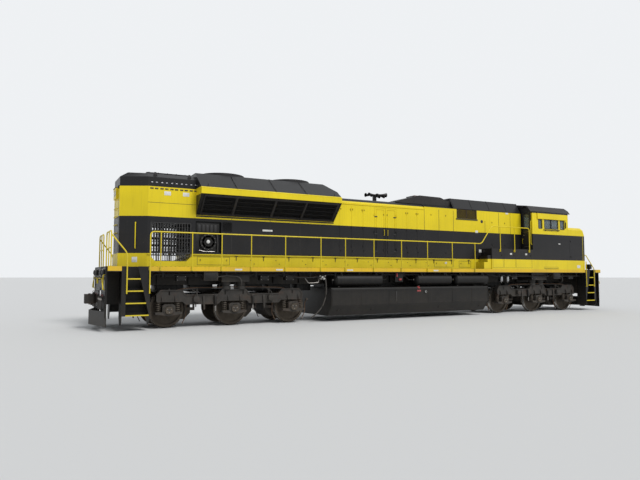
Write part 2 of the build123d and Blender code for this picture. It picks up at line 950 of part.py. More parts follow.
def intake_plane(side):
    """Plane on the sloped underside of a wing: first direction up the slope, third direction outward."""
    corner = Vector(radiator_rear, side * hood_half_width, wing_root)
    up_slope = Vector(0, side * slope.Y, slope.Z).normalized()
    outward = Vector(0, side * slope.Z, -slope.Y).normalized()
    return Plane(corner, x_dir=up_slope, z_dir=outward), side


def intake_bays(along):
    """One rectangle for each bay of the intake, on an intake plane."""
    for rear, front in zip(intake_edges[:-1], intake_edges[1:]):
        with Locations((slope.length / 2, along * (rear + front) / 2)):
            Rectangle(slope.length - 2 * (intake_border + intake_frame), front - rear - intake_bar)


with BuildPart() as radiator_section:
    with BuildSketch(cross_plane(radiator_rear)):
        half_outline(((0, ledge_top), (hood_half_width, ledge_top), (hood_half_width, wing_root),
                      (wing_half_width, wing_lip), (wing_half_width, wing_edge_top),
                      (radiator_roof_half, radiator_roof_top), (0, radiator_roof_top)))
    extrude(amount=radiator_length)
    with BuildSketch(*side_planes(0, 0, wing_half_width)):
        outline_face(((radiator_front, radiator_roof_top),
                      (radiator_front - roof_bevel_length, radiator_roof_top),
                      (radiator_front, radiator_roof_top - roof_bevel_drop)))
    extrude(amount=wing_half_width, mode=Mode.SUBTRACT)
    for side in sides:
        face, along = intake_plane(side)
        with BuildSketch(face) as bays:
            intake_bays(along)
        extrude(bays.sketch, amount=-intake_recess, mode=Mode.SUBTRACT)
    for place in fan_places:
        x = radiator_rear + place
        disc(x, 0, radiator_roof_top, fan_well_diameter / 2, -fan_well_depth, Mode.SUBTRACT)
        disc(x, 0, radiator_roof_top - fan_well_depth, fan_motor_diameter / 2, fan_motor_height)
    bay_floor = -hood_half_width + blower_bay_depth
    bar((radiator_rear, radiator_rear + blower_bay_length), (-hood_half_width, bay_floor),
        (deck_top + blower_bay_bottom, deck_top + blower_bay_top), mode=Mode.SUBTRACT)
    blower_centre = (radiator_rear + blower_bay_length / 2, bay_floor, deck_top + blower_height)
    with BuildSketch(Plane(blower_centre, z_dir=(0, -1, 0))) as blower:
        Circle(blower_diameter / 2)
    extrude(blower.sketch, amount=blower_depth)
save(radiator_section, "radiator_section")

# Radiator intakes: framed screens standing proud of the sloped underside of each wing
with BuildPart() as radiator_intakes:
    for side in sides:
        face, along = intake_plane(side)
        with BuildSketch(face) as intake_outline:
            with Locations((slope.length / 2, along * (intake_edges[0] + intake_edges[-1]) / 2)):
                Rectangle(slope.length - 2 * intake_border, intake_length)
        extrude(intake_outline.sketch, amount=intake_thickness)
        with BuildSketch(face) as bays:
            intake_bays(along)
        extrude(bays.sketch, amount=intake_thickness, mode=Mode.SUBTRACT)
save(radiator_intakes, "radiator_intakes")

# Fan guards: a raised ring over each well with crossed bars and a hub disc
fan_guard_top = radiator_roof_top + fan_ring_height
with BuildPart() as fan_guards:
    for place in fan_places:
        x = radiator_rear + place
        with BuildSketch(Plane((x, 0, radiator_roof_top))):
            Circle(fan_well_diameter / 2 + fan_ring_width)
            Circle(fan_well_diameter / 2, mode=Mode.SUBTRACT)
        extrude(amount=fan_ring_height)
        with BuildSketch(Plane((x, 0, fan_guard_top - guard_thickness))):
            Circle(guard_hub_diameter / 2)
            for number in range(guard_bar_count):
                Rectangle(fan_well_diameter, guard_bar_width, rotation=number * 180 / guard_bar_count)
        extrude(amount=guard_thickness)
save(fan_guards, "fan_guards")


# Cooling fans: a hub on the motor with pitched blades that twist and thin towards the tip
def make_fan(x):
    hub_bottom = radiator_roof_top - fan_well_depth + fan_motor_height + flat_gap
    root = fan_hub_diameter / 2 - blade_hub_sink
    tip = fan_well_diameter / 2 - fan_tip_gap
    with BuildPart() as fan:
        disc(x, 0, hub_bottom, fan_hub_diameter / 2, fan_hub_height)
        centre = Vector(x, 0, hub_bottom + fan_hub_height / 2)
        for number in range(fan_blades):
            turn = radians(360 / fan_blades * number)
            outward = Vector(cos(turn), sin(turn), 0)
            across = Vector(-sin(turn), cos(turn), 0)
            with BuildSketch(Plane(centre + outward * root, x_dir=across, z_dir=outward)):
                Rectangle(blade_root_chord, blade_root_thickness, rotation=blade_root_pitch)
            with BuildSketch(Plane(centre + outward * tip, x_dir=across, z_dir=outward)):
                Rectangle(blade_tip_chord, blade_tip_thickness, rotation=blade_tip_pitch)
            loft()
    return fan


for (name, end), place in zip(both_ends, fan_places):
    fan = make_fan(radiator_rear + place)
    save(fan, f"cooling_fan_{name}")

# Engine hood: sides and rounded roof in one sheet, with a pair of doorways on each side
door_pair_centre = radiator_front + door_pair_place
door_height_middle = (door_bottom + door_top) / 2
door_hinge_heights = (door_bottom + hinge_inset, door_height_middle, door_top - hinge_inset)
door_openings = (
    # rear edge of the leaf, hinge edge, name
    (door_pair_centre - door_width, door_pair_centre - door_width, "rear"),
    (door_pair_centre, door_pair_centre + door_width, "front"),
)
shoulder_low = hood_eave - hood_shoulder_drop
with BuildPart() as engine_hood:
    with BuildSketch(cross_plane(radiator_front)):
        half_outline(((0, ledge_top), (hood_half_width, ledge_top), (hood_half_width, shoulder_low),
                      (hood_half_width - hood_shoulder, hood_roof_top), (0, hood_roof_top)))
    extrude(amount=engine_hood_length)
    fillet(engine_hood.edges().filter_by(Axis.X).group_by(Axis.Z)[-1], radius=hood_roof_radius)
    with BuildSketch(cross_plane(radiator_front)):
        half_outline(((0, ledge_top), (hood_half_width - sheet, ledge_top),
                      (hood_half_width - sheet, shoulder_low - plate),
                      (hood_half_width - hood_shoulder - plate, hood_roof_top - sheet),
                      (0, hood_roof_top - sheet)))
    extrude(amount=engine_hood_length, mode=Mode.SUBTRACT)
    bar((door_pair_centre - door_width, door_pair_centre + door_width), (-hood_half_width, hood_half_width),
        (door_bottom, door_top), mode=Mode.SUBTRACT)
    for side in sides:
        seam_x = radiator_front + seam_pitch / 2
        while seam_x < engine_hood_front:
            if abs(seam_x - door_pair_centre) > door_width + hinge_leaf:
                bar((seam_x - seam_width / 2, seam_x + seam_width / 2),
                    (side * (hood_half_width - seam_depth), side * hood_half_width), (door_bottom, door_top),
                    mode=Mode.SUBTRACT)
            seam_x += seam_pitch
        for end in (-1, 1):
            hinge_x = door_pair_centre + end * door_width
            hinge_knuckles(hinge_x, side * (hood_half_width + hinge_reach),
                           (hinge_x + end * hinge_leaf, side * (hood_half_width - running_clearance)),
                           door_hinge_heights, False)
save(engine_hood, "engine_hood")


# Engine room doors: leaves with an embossed panel, hinged at the outer edges of each pair
def make_door(side, low_x, hinge_x):
    outer = side * hood_half_width
    border = door_border + door_bead
    with BuildPart() as door:
        bar((low_x + door_gap, low_x + door_width - door_gap), (outer, outer - side * door_thickness),
            (door_bottom + door_gap, door_top - door_gap))
        bar((low_x + door_border, low_x + door_width - door_border), (outer - side * door_emboss, outer),
            (door_bottom + door_border, door_top - door_border), mode=Mode.SUBTRACT)
        bar((low_x + border, low_x + door_width - border), (outer - side * door_emboss, outer),
            (door_bottom + border, door_top - border))
        inward = 1 if hinge_x == low_x else -1
        hinge_knuckles(hinge_x, side * (hood_half_width + hinge_reach),
                       (hinge_x + inward * hinge_leaf, side * (hood_half_width - running_clearance)),
                       door_hinge_heights, True)
    return door


for side_name, side in (("right", -1), ("left", 1)):
    for low_x, hinge_x, end_name in door_openings:
        door = make_door(side, low_x, hinge_x)
        save(door, f"engine_door_{side_name}_{end_name}")

# Engine and alternator: plain blocks on the deck inside the hood
head_half_width = hood_half_width - engine_side_gap
engine_rear = radiator_front + engine_rear_gap
with BuildPart() as engine_block:
    with BuildSketch(cross_plane(engine_rear)):
        half_outline(((0, deck_top), (engine_base_half_width, deck_top),
                      (crankcase_half_width, deck_top + crankcase_height),
                      (head_half_width, deck_top + head_height),
                      (engine_top_half_width, deck_top + engine_top_height),
                      (0, deck_top + engine_valley_height)))
    extrude(amount=engine_length)
    with BuildSketch(cross_plane(engine_rear + engine_length)):
        with Locations((0, deck_top + crankcase_height + (head_height - crankcase_height) / 2)):
            Circle(alternator_diameter / 2)
        with Locations((0, deck_top + crankcase_height / 2)):
            Rectangle(alternator_foot, crankcase_height)
    extrude(amount=alternator_length)
save(engine_block, "engine_block")

# Intake hood: section between the engine hood and the cabinets, open below
with BuildPart() as intake_hood:
    with BuildSketch(cross_plane(engine_hood_front)):
        half_outline(((0, ledge_top), (hood_half_width, ledge_top), (hood_half_width, hood_eave),
                      (hood_half_width - hood_shoulder, hood_roof_top), (0, hood_roof_top)))
    extrude(amount=intake_hood_length)
    room_half = hood_half_width - sheet
    bar((engine_hood_front, intake_hood_front - sheet), (-room_half, room_half),
        (ledge_top, hood_eave - hood_shoulder_drop), mode=Mode.SUBTRACT)
save(intake_hood, "intake_hood")

# Roof fairing: long wedge that rises from the engine hood roof to the cabinets, with the exhaust outlet
with BuildPart() as roof_fairing:
    with BuildSketch(*side_planes(engine_hood_front, 0, fairing_half_width)):
        outline_face(((-fairing_rear_reach, hood_roof_top),
                      (-fairing_rear_reach, hood_roof_top + fairing_rear_rise),
                      (-fairing_peak_place, hood_roof_top + fairing_peak_rise),
                      (fairing_shoulder_place - fairing_peak_place, hood_roof_top + fairing_shoulder_rise),
                      (fairing_front_place, hood_roof_top + fairing_front_rise),
                      (intake_hood_length, hood_roof_top + fairing_front_rise),
                      (intake_hood_length, hood_roof_top)))
    extrude(amount=fairing_half_width)
    exhaust_x = (engine_hood_front + exhaust_place - exhaust_length / 2,
                 engine_hood_front + exhaust_place + exhaust_length / 2)
    bar(exhaust_x, (-exhaust_half_width, exhaust_half_width),
        (hood_roof_top + fairing_front_rise, hood_roof_top + fairing_peak_rise + exhaust_height))
    bar((exhaust_x[0] + plate, exhaust_x[1] - plate),
        (plate - exhaust_half_width, exhaust_half_width - plate),
        (hood_roof_top + fairing_front_rise, hood_roof_top + fairing_peak_rise + exhaust_height),
        mode=Mode.SUBTRACT)
save(roof_fairing, "roof_fairing")

# Cabinet hood: electrical cabinets behind the cab with a sloped roof and the recess of the side grille
with BuildPart() as cabinet_hood:
    with BuildSketch(cross_plane(intake_hood_front)):
        half_outline(((0, ledge_top), (hood_half_width, ledge_top), (hood_half_width, cabinet_eave),
                      (hood_half_width - cabinet_shoulder, cabinet_roof_top), (0, cabinet_roof_top)))
    extrude(amount=cabinet_hood_front - intake_hood_front)
    recess_x = intake_hood_front + grille_recess_start
    for side in sides:
        bar((recess_x, recess_x + grille_recess_length),
            (side * (hood_half_width - grille_recess_depth), side * hood_half_width),
            (cabinet_eave - plate - grille_recess_height, cabinet_eave - plate), mode=Mode.SUBTRACT)
save(cabinet_hood, "cabinet_hood")

# Side cabinets: low one under the raised walkway on the right, tall one on the left
with BuildPart() as side_cabinets:
    bar((walkway_rear, cab_rear), (-body_half_width, -base_half_width), (deck_top, cab_floor))
    for number in range(1, walkway_step_count + 1):
        step_x = walkway_rear - (walkway_step_count + 1 - number) * walkway_step_length
        bar((step_x, walkway_rear), (-body_half_width + 2 * plate, -base_half_width),
            (deck_top, deck_top + number * cab_floor_height / (walkway_step_count + 1)))
    with BuildSketch(cross_plane(intake_hood_front)) as tall_section:
        outline_face(((base_half_width, deck_top), (body_half_width, deck_top),
                      (body_half_width, deck_top + tall_cabinet_edge),
                      (body_half_width - tall_cabinet_slope, deck_top + tall_cabinet_top),
                      (hood_half_width, deck_top + tall_cabinet_top), (hood_half_width, ledge_top),
                      (base_half_width, ledge_top)))
    extrude(tall_section.sketch, amount=cab_rear - intake_hood_front)
save(side_cabinets, "side_cabinets")

# Cab base: closed lower body whose top is the cab floor, with the jacking recess along its foot
with BuildPart() as cab_base:
    bar((cab_rear, cab_front), (-body_half_width, body_half_width), (deck_top, cab_floor))
    cab_middle = (cab_rear + cab_front) / 2
    for side in sides:
        bar((cab_middle - jacking_recess_half_length, cab_middle + jacking_recess_half_length),
            (side * (body_half_width - jacking_recess_depth), side * body_half_width),
            (deck_top, deck_top + jacking_recess_height), mode=Mode.SUBTRACT)
save(cab_base, "cab_base")

# Cab sides with three windows each and the projecting sunshade above them
with BuildPart() as cab_sides:
    for side in sides:
        wall_y = (side * cab_inner, side * body_half_width)
        bar((cab_rear, cab_front), wall_y, (cab_floor, cab_side_top))
        for rear, front in side_windows:
            bar((cab_rear + rear, cab_rear + front), wall_y, (window_bottom, window_top), mode=Mode.SUBTRACT)
        with BuildSketch(cross_plane(cab_rear + sunshade_start)) as sunshade:
            outline_face(((side * body_half_width, cab_side_top),
                          (side * (body_half_width + sunshade_top_reach), cab_side_top - 2 * plate),
                          (side * (body_half_width + sunshade_low_reach), cab_side_top - sunshade_depth),
                          (side * body_half_width, cab_side_top - sunshade_depth)))
        extrude(sunshade.sketch, amount=sunshade_length)
save(cab_sides, "cab_sides")


def cab_cross_section():
    half_outline(((0, cab_floor), (cab_inner, cab_floor), (cab_inner, cab_side_top),
                  (cab_liner_half_width, cab_liner_top), (0, cab_liner_top)))


# Cab rear wall with the doorway on the right
door_outer_y = -(body_half_width - cab_door_outer_inset)
door_inner_y = door_outer_y + cab_door_width
cab_door_bottom = cab_floor + cab_door_sill
cab_door_top = cab_side_top - cab_door_head
cab_hinge_heights = (cab_door_bottom + hinge_inset, (cab_door_bottom + cab_door_top) / 2,
                     cab_door_top - hinge_inset)
cab_hinge_x = cab_rear - hinge_reach
with BuildPart() as cab_rear_wall:
    with BuildSketch(cross_plane(cab_rear)):
        cab_cross_section()
    extrude(amount=cab_wall)
    bar((cab_rear, cab_rear + cab_wall), (door_outer_y, door_inner_y), (cab_floor, cab_door_top),
        mode=Mode.SUBTRACT)
    hinge_knuckles(cab_hinge_x, door_outer_y, (cab_rear + running_clearance, door_outer_y - hinge_leaf),
                   cab_hinge_heights, False)
save(cab_rear_wall, "cab_rear_wall")

# Cab front wall with two windshield openings and the passage to the nose
windshield_bottom = cab_floor + windshield_sill
windshield_top = windshield_bottom + windshield_height
with BuildPart() as cab_front_wall:
    wall_x = (cab_front - cab_wall, cab_front)
    with BuildSketch(cross_plane(cab_front - cab_wall)):
        cab_cross_section()
    extrude(amount=cab_wall)
    for side in sides:
        bar(wall_x, (side * windshield_inner, side * windshield_outer), (windshield_bottom, windshield_top),
            mode=Mode.SUBTRACT)
    bar(wall_x, (nose_way_low_y, nose_way_high_y), (cab_floor, cab_floor + nose_way_height),
        mode=Mode.SUBTRACT)
save(cab_front_wall, "cab_front_wall")

# Cab roof: folded sheet with a brow over the windshields
cab_edge_half = body_half_width - cab_edge_inset
cab_roof_edge = cab_side_top + cab_edge_rise
cab_roof_top = cab_roof_edge + cab_roof_rise
brow_front = cab_front + cab_visor_reach
with BuildPart() as cab_roof:
    with BuildSketch(cross_plane(cabinet_hood_front)):
        half_outline(((0, cab_liner_top), (cab_liner_half_width, cab_liner_top), (cab_inner, cab_side_top),
                      (body_half_width, cab_side_top), (cab_edge_half, cab_roof_edge),
                      (cab_roof_flat, cab_roof_top), (0, cab_roof_top)))
    extrude(amount=brow_front - cabinet_hood_front)
    with BuildSketch(*side_planes(brow_front, 0, body_half_width)):
        outline_face(((-cab_visor_slope, cab_roof_top), (0, cab_roof_top - cab_visor_drop),
                      (0, cab_roof_top)))
    extrude(amount=body_half_width, mode=Mode.SUBTRACT)
save(cab_roof, "cab_roof")

# Nose: hollow shell with bevelled top edges, the front doorway and the headlight housing on the bevel
nose_door_low_y = nose_way_low_y
nose_door_high_y = nose_door_low_y + nose_door_width
nose_door_top = deck_top + nose_door_height
nose_bevel = nose_top - nose_bevel_drop
nose_hinge_heights = (deck_top + hinge_inset, (deck_top + nose_door_top) / 2, nose_door_top - hinge_inset)
nose_hinge_x = nose_front + hinge_reach
with BuildPart() as nose_shell:
    with BuildSketch(*side_planes(0, 0, body_half_width)):
        outline_face(((cab_front, deck_top), (nose_front, deck_top), (nose_front, nose_bevel),
                      (nose_front - nose_bevel_length, nose_top), (cab_front, nose_top)))
    extrude(amount=body_half_width)
    chamfer(nose_shell.edges().filter_by(Axis.X).group_by(Axis.Z)[-1], length=nose_edge_chamfer)
    open_faces = nose_shell.faces().sort_by(Axis.Z)[:1] + nose_shell.faces().sort_by(Axis.X)[:1]
    offset(amount=-nose_wall, openings=open_faces, kind=Kind.INTERSECTION)
    bar((nose_front - nose_wall, nose_front), (nose_door_low_y, nose_door_high_y), (deck_top, nose_door_top),
        mode=Mode.SUBTRACT)
    hinge_knuckles(nose_hinge_x, nose_door_high_y,
                   (nose_front - running_clearance, nose_door_high_y + hinge_leaf), nose_hinge_heights, False)
save(nose_shell, "nose_shell")

# Cab and nose doors, flush in their doorways
with BuildPart() as cab_door:
    leaf_x = (cab_rear, cab_rear + door_thickness)
    door_window_top = cab_door_top - cab_door_window_margin
    bar(leaf_x, (door_outer_y + door_gap, door_inner_y - door_gap),
        (cab_door_bottom, cab_door_top - door_gap))
    bar(leaf_x, (door_outer_y + cab_door_frame, door_inner_y - cab_door_frame),
        (door_window_top - cab_door_window_height, door_window_top), mode=Mode.SUBTRACT)
    hinge_knuckles(cab_hinge_x, door_outer_y, (cab_rear + running_clearance, door_outer_y + hinge_leaf),
                   cab_hinge_heights, True)
save(cab_door, "cab_door")
with BuildPart() as nose_door:
    bar((nose_front - door_thickness, nose_front),
        (nose_door_low_y + door_gap, nose_door_high_y - door_gap),
        (deck_top + cab_door_sill, nose_door_top - door_gap))
    hinge_knuckles(nose_hinge_x, nose_door_high_y,
                   (nose_front - running_clearance, nose_door_high_y - hinge_leaf), nose_hinge_heights, True)
save(nose_door, "nose_door")

# Cab glass: one pane in each opening
with BuildPart() as cab_glass:
    for side in sides:
        pane_y = (side * (body_half_width - pane_inset), side * (body_half_width - pane_inset - pane))
        for rear, front in side_windows:
            bar((cab_rear + rear, cab_rear + front), pane_y, (window_bottom, window_top))
        pane_x = cab_front - pane_inset
        bar((pane_x - pane, pane_x), (side * windshield_inner, side * windshield_outer),
            (windshield_bottom, windshield_top))
save(cab_glass, "cab_glass")

# Cab interior: two seats, the desk at the right and the steps down into the nose
with BuildPart() as cab_interior:
    seat_x = cab_rear + seat_place
    for side in sides:
        y = side * seat_half_spacing
        disc(seat_x, y, cab_floor, seat_post_radius, seat_height)
        bar((seat_x - seat_half, seat_x + seat_half), (y - seat_half, y + seat_half),
            (cab_floor + seat_height, cab_floor + seat_height + seat_thickness))
        bar((seat_x - seat_half, seat_x - seat_half + seat_thickness), (y - seat_half, y + seat_half),
            (cab_floor + seat_height, cab_floor + seat_height + seat_back_height))
    desk_y = -(body_half_width - desk_outer)
    bar((cab_rear + desk_place, cab_rear + desk_place + desk_length), (desk_y, desk_y + desk_width),
        (cab_floor, cab_floor + desk_height))
    for number in (1, 2, 3):
        bar((cab_front + moving_gap + nose_step_length * (number - 1), cab_front + nose_step_length * number),
            (nose_way_low_y + moving_gap, nose_way_high_y - moving_gap),
            (deck_top, cab_floor - nose_step_drop * number))
save(cab_interior, "cab_interior")

# Horn: five trumpets on a manifold and post
horn_x = radiator_front + horn_place
horn_z = hood_roof_top + horn_rise
with BuildPart() as horn:
    bar((horn_x - horn_post_half, horn_x + horn_post_half), (-horn_post_half, horn_post_half),
        (hood_roof_top, horn_z))
    bar((horn_x - horn_post_half, horn_x + horn_post_half), (-horn_manifold_half, horn_manifold_half),
        (horn_z - horn_manifold_depth, horn_z))
    for y, direction, length, bell in trumpets:
        axis_z = horn_z - horn_manifold_depth / 2
        with BuildSketch(Plane((horn_x, y, axis_z), x_dir=(direction, 0, 0), z_dir=(0, 0, 1))) as trumpet:
            outline_face(((0, 0), (length, 0), (length, bell / 2), (length - trumpet_flare, trumpet_waist),
                          (0, trumpet_throat)))
        revolve(trumpet.sketch, axis=Axis((horn_x, y, axis_z), (1, 0, 0)))
save(horn, "horn")


# Wheelsets: axle, two wheels and the bearing end caps in one turned piece
def make_wheelset(x):
    tread = tread_diameter / 2
    web = (wheel_inner + wheel_outer) / 2
    hub = hub_diameter / 2
    rim = tread - rim_depth
    cap_start = box_outer + moving_gap
    cap_end = cap_start + axle_cap_length
    half_web = web_thickness / 2
    with BuildPart() as wheelset:
        with BuildSketch(Plane((x, 0, axle_height), x_dir=(0, 1, 0), z_dir=(1, 0, 0))):
            half_outline((
                (0, 0), (cap_end, 0), (cap_end, axle_cap_diameter / 2), (cap_start, axle_cap_diameter / 2),
                (cap_start, journal_diameter / 2), (wheel_outer, journal_diameter / 2), (wheel_outer, hub),
                (web + half_web, hub), (web + half_web, rim), (wheel_outer, rim),
                (wheel_outer, tread - tread_cone), (wheel_inner + flange_width, tread + tread_cone),
                (wheel_inner + flange_tip, tread + flange_height), (wheel_inner, tread + flange_height),
                (wheel_inner, rim), (web - half_web, rim), (web - half_web, hub), (wheel_inner, hub),
                (wheel_inner, axle_diameter / 2), (0, axle_diameter / 2)))
        revolve(axis=Axis((x, 0, axle_height), (0, 1, 0)))
    return wheelset


axle_number = 0
for name, truck_x in truck_positions:
    for offset_x in axle_offsets:
        axle_number += 1
        wheelset = make_wheelset(truck_x + offset_x)
        save(wheelset, f"wheelset_{axle_number}")

# Truck frames: cast side beams that arch over each axle box, two transoms, the pivot plate, rubber
# stacks, brake cylinders and the brake shoes hung from the transoms
frame_half_length = axle_spacing + frame_end_reach
arch_half = spring_offset + spring_diameter / 2 + arch_margin


def beam_face():
    """Side view of a truck's beam about the truck centre, with rounded corners."""
    slope_start = axle_spacing - arch_half
    hump_start = axle_spacing - hump_half_length
    with BuildLine() as outline:
        Polyline(
            (0, frame_over_box), (arch_half, frame_over_box), (arch_half + arch_slope, frame_bottom),
            (slope_start - arch_slope, frame_bottom), (slope_start, frame_over_box),
            (frame_half_length, frame_over_box), (frame_half_length, frame_waist),
            (frame_half_length - hump_slope, frame_top), (hump_start, frame_top),
            (hump_start - hump_slope, frame_waist), (hump_half_length + hump_slope, frame_waist),
            (hump_half_length, frame_top), (0, frame_top))
        mirror(about=Plane.YZ)
    beam = make_face(outline.edges())
    fillet(beam.vertices().filter_by(lambda vertex: abs(vertex.X) > 1), radius=beam_fillet)


def make_truck_frame(truck_x):
    stack_height = bolster_bottom - flat_gap - frame_top
    beam_outer = frame_inner + frame_thickness
    tread = tread_diameter / 2
    with BuildPart() as frame:
        with BuildSketch(*side_planes(truck_x, frame_inner, frame_thickness)):
            beam_face()
        extrude(amount=frame_thickness)
        with BuildSketch(*side_planes(truck_x, beam_outer - beam_pocket_depth, beam_pocket_depth)):
            beam_face()
            offset(amount=-beam_rib, kind=Kind.INTERSECTION, mode=Mode.REPLACE)
        extrude(amount=beam_pocket_depth, mode=Mode.SUBTRACT)
        for end in (-1, 1):
            middle = truck_x + end * axle_spacing / 2
            bar((middle - transom_width / 2, middle + transom_width / 2), (-frame_inner, frame_inner),
                (axle_height + transom_rise, frame_waist))
        bar((truck_x - axle_spacing / 2, truck_x + axle_spacing / 2),
            (-pivot_plate_half_width, pivot_plate_half_width),
            (frame_waist - pivot_plate_thickness, frame_waist))
        disc(truck_x, 0, frame_waist - pivot_plate_thickness, pivot_pin_diameter / 2 + pivot_pin_clearance,
             pivot_plate_thickness, Mode.SUBTRACT)
        for side in sides:
            for end in (-1, 1):
                stack_x = truck_x + end * stack_offset
                half_height = (stack_height - stack_groove) / 2
                disc(stack_x, side * spring_y, frame_top, stack_diameter / 2, half_height)
                disc(stack_x, side * spring_y, frame_top + half_height, stack_diameter / 2 - stack_groove,
                     stack_groove)
                disc(stack_x, side * spring_y, frame_top + half_height + stack_groove, stack_diameter / 2,
                     half_height)
                cylinder_centre = (truck_x + end * brake_cylinder_offset,
                                   side * (beam_outer - beam_pocket_depth),
                                   axle_height + brake_cylinder_rise)
                with BuildSketch(Plane(cylinder_centre, z_dir=(0, side, 0))) as brake_cylinder:
                    Circle(brake_cylinder_diameter / 2)
                extrude(brake_cylinder.sketch, amount=brake_cylinder_length)
            for axle, direction in ((-axle_spacing, 1), (0, 1), (axle_spacing, -1)):
                wheel_x = truck_x + axle
                shoe_y = side * ((wheel_inner + wheel_outer) / 2 - shoe_width / 2)
                front_turn = 0 if direction > 0 else 180
                shoe_plane = Plane((wheel_x, shoe_y, axle_height), x_dir=(1, 0, 0), z_dir=(0, side, 0))
                with BuildSketch(shoe_plane) as shoe:
                    with BuildLine() as shoe_edge:
                        inner_arc = CenterArc((0, 0), tread + flange_height + moving_gap,
                                              front_turn - shoe_half_angle, 2 * shoe_half_angle)
                        outer_arc = CenterArc((0, 0), tread + flange_height + moving_gap + shoe_thickness,
                                              front_turn - shoe_half_angle, 2 * shoe_half_angle)
                        Line(inner_arc @ 0, outer_arc @ 0)
                        Line(inner_arc @ 1, outer_arc @ 1)
                    make_face(shoe_edge.edges())
                extrude(shoe.sketch, amount=shoe_width)
                transom_face = wheel_x + direction * (axle_spacing - transom_width) / 2
                hanger_y = (shoe_y, shoe_y + side * shoe_width)
                shoe_back = wheel_x + direction * (tread + flange_height + moving_gap + shoe_thickness / 2)
                bar((shoe_back, transom_face + direction * shoe_thickness), hanger_y,
                    (axle_height - shoe_thickness, axle_height + shoe_thickness))
                bar((transom_face, transom_face + direction * shoe_thickness), hanger_y,
                    (axle_height, axle_height + transom_rise))
    return frame


for name, truck_x in truck_positions:
    frame = make_truck_frame(truck_x)
    save(frame, f"truck_frame_{name}")


# Axle boxes: a round bored housing with two wings under the coil springs
def make_axle_boxes(truck_x):
    wing_end = spring_offset + spring_diameter / 2 + wing_tip_margin
    with BuildPart() as boxes:
        for offset_x in axle_offsets:
            x = truck_x + offset_x
            with BuildSketch(*side_planes(x, box_inner, box_width)) as box_section:
                half_outline(((0, axle_height - box_top_rise), (wing_end, wing_top - wing_thickness),
                              (wing_end, wing_top), (box_half_length, wing_top),
                              (box_half_length, axle_height + box_shoulder_rise),
                              (box_half_length - wing_thickness, axle_height + box_top_rise),
                              (0, axle_height + box_top_rise)))
            extrude(box_section.sketch, amount=box_width)
            for side in sides:
                cover = Plane((x, side * box_inner, axle_height), z_dir=(0, side, 0))
                with BuildSketch(cover) as cover_section:
                    Circle(box_cover_diameter / 2)
                extrude(cover_section.sketch, amount=box_width + moving_gap / 2)
                with BuildSketch(cover) as bore:
                    Circle(journal_diameter / 2 + running_clearance)
                extrude(bore.sketch, amount=box_width + moving_gap, mode=Mode.SUBTRACT)
    return boxes


# Coil springs: the space of each coil between an axle box's wing and the frame
def make_springs(truck_x):
    with BuildPart() as springs:
        for offset_x in axle_offsets:
            for end in (-1, 1):
                for side in sides:
                    disc(truck_x + offset_x + end * spring_offset, side * spring_y, wing_top,
                         spring_diameter / 2, frame_over_box - wing_top)
    return springs


for name, truck_x in truck_positions:
    boxes = make_axle_boxes(truck_x)
    save(boxes, f"axle_boxes_{name}")
    springs = make_springs(truck_x)
    save(springs, f"coil_springs_{name}")

# Traction motors: one beside each axle, with a bearing tube round it and a nose on the transom
motor_offset = (axle_spacing - transom_width) / 2 - motor_radius - motor_gap
motors_of_truck = (
    # axle, direction of the motor
    (-axle_spacing, 1),
    (0, 1),
    (axle_spacing, -1),
)


def make_motors(truck_x):
    with BuildPart() as motors:
        for axle, direction in motors_of_truck:
            x = truck_x + axle
            motor_plane = Plane((x, -motor_half_width, axle_height), x_dir=(1, 0, 0), z_dir=(0, 1, 0))
            with BuildSketch(motor_plane) as body:
                with Locations((direction * motor_offset, 0)):
                    RegularPolygon(motor_radius, 8, major_radius=False, rotation=22.5)
                Circle(axle_diameter / 2 + motor_bearing_wall)
                with Locations((direction * motor_offset / 2, 0)):
                    Rectangle(motor_offset, axle_diameter + motor_bearing_wall)
                Circle(axle_diameter / 2 + running_clearance, mode=Mode.SUBTRACT)
            extrude(body.sketch, amount=2 * motor_half_width)
            nose_start = x + direction * (motor_offset + motor_radius / 2)
            bar((nose_start, x + direction * (axle_spacing - transom_width) / 2),
                (-motor_nose_half_width, motor_nose_half_width),
                (axle_height + motor_nose_rise, axle_height + motor_nose_rise + motor_nose_height))
    return motors


for name, truck_x in truck_positions:
    motors = make_motors(truck_x)
    save(motors, f"traction_motors_{name}")

# Couplers: shank, head and knuckle, swinging on a pin in the draft pocket


def make_coupler(end):
    with BuildPart() as coupler:
        bar((end * (coupler_pivot - coupler_tail), end * (coupler_face - shank_front)),
            (-shank_half_width, shank_half_width), (coupler_height - shank_half, coupler_height + shank_half))
        with BuildSketch(Plane.XY.offset(coupler_height - coupler_head_height / 2)) as head:
            outline_face([(end * (coupler_face - back), end * across) for back, across in coupler_outline])
        extrude(head.sketch, amount=coupler_head_height)
        disc(end * coupler_pivot, 0, coupler_height - shank_half, coupler_pin_radius + running_clearance,
             2 * shank_half, Mode.SUBTRACT)
    return coupler


for name, end in both_ends:
    coupler = make_coupler(end)
    save(coupler, f"coupler_{name}")
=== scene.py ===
import json
import math

import bpy
from mathutils import Matrix, Vector

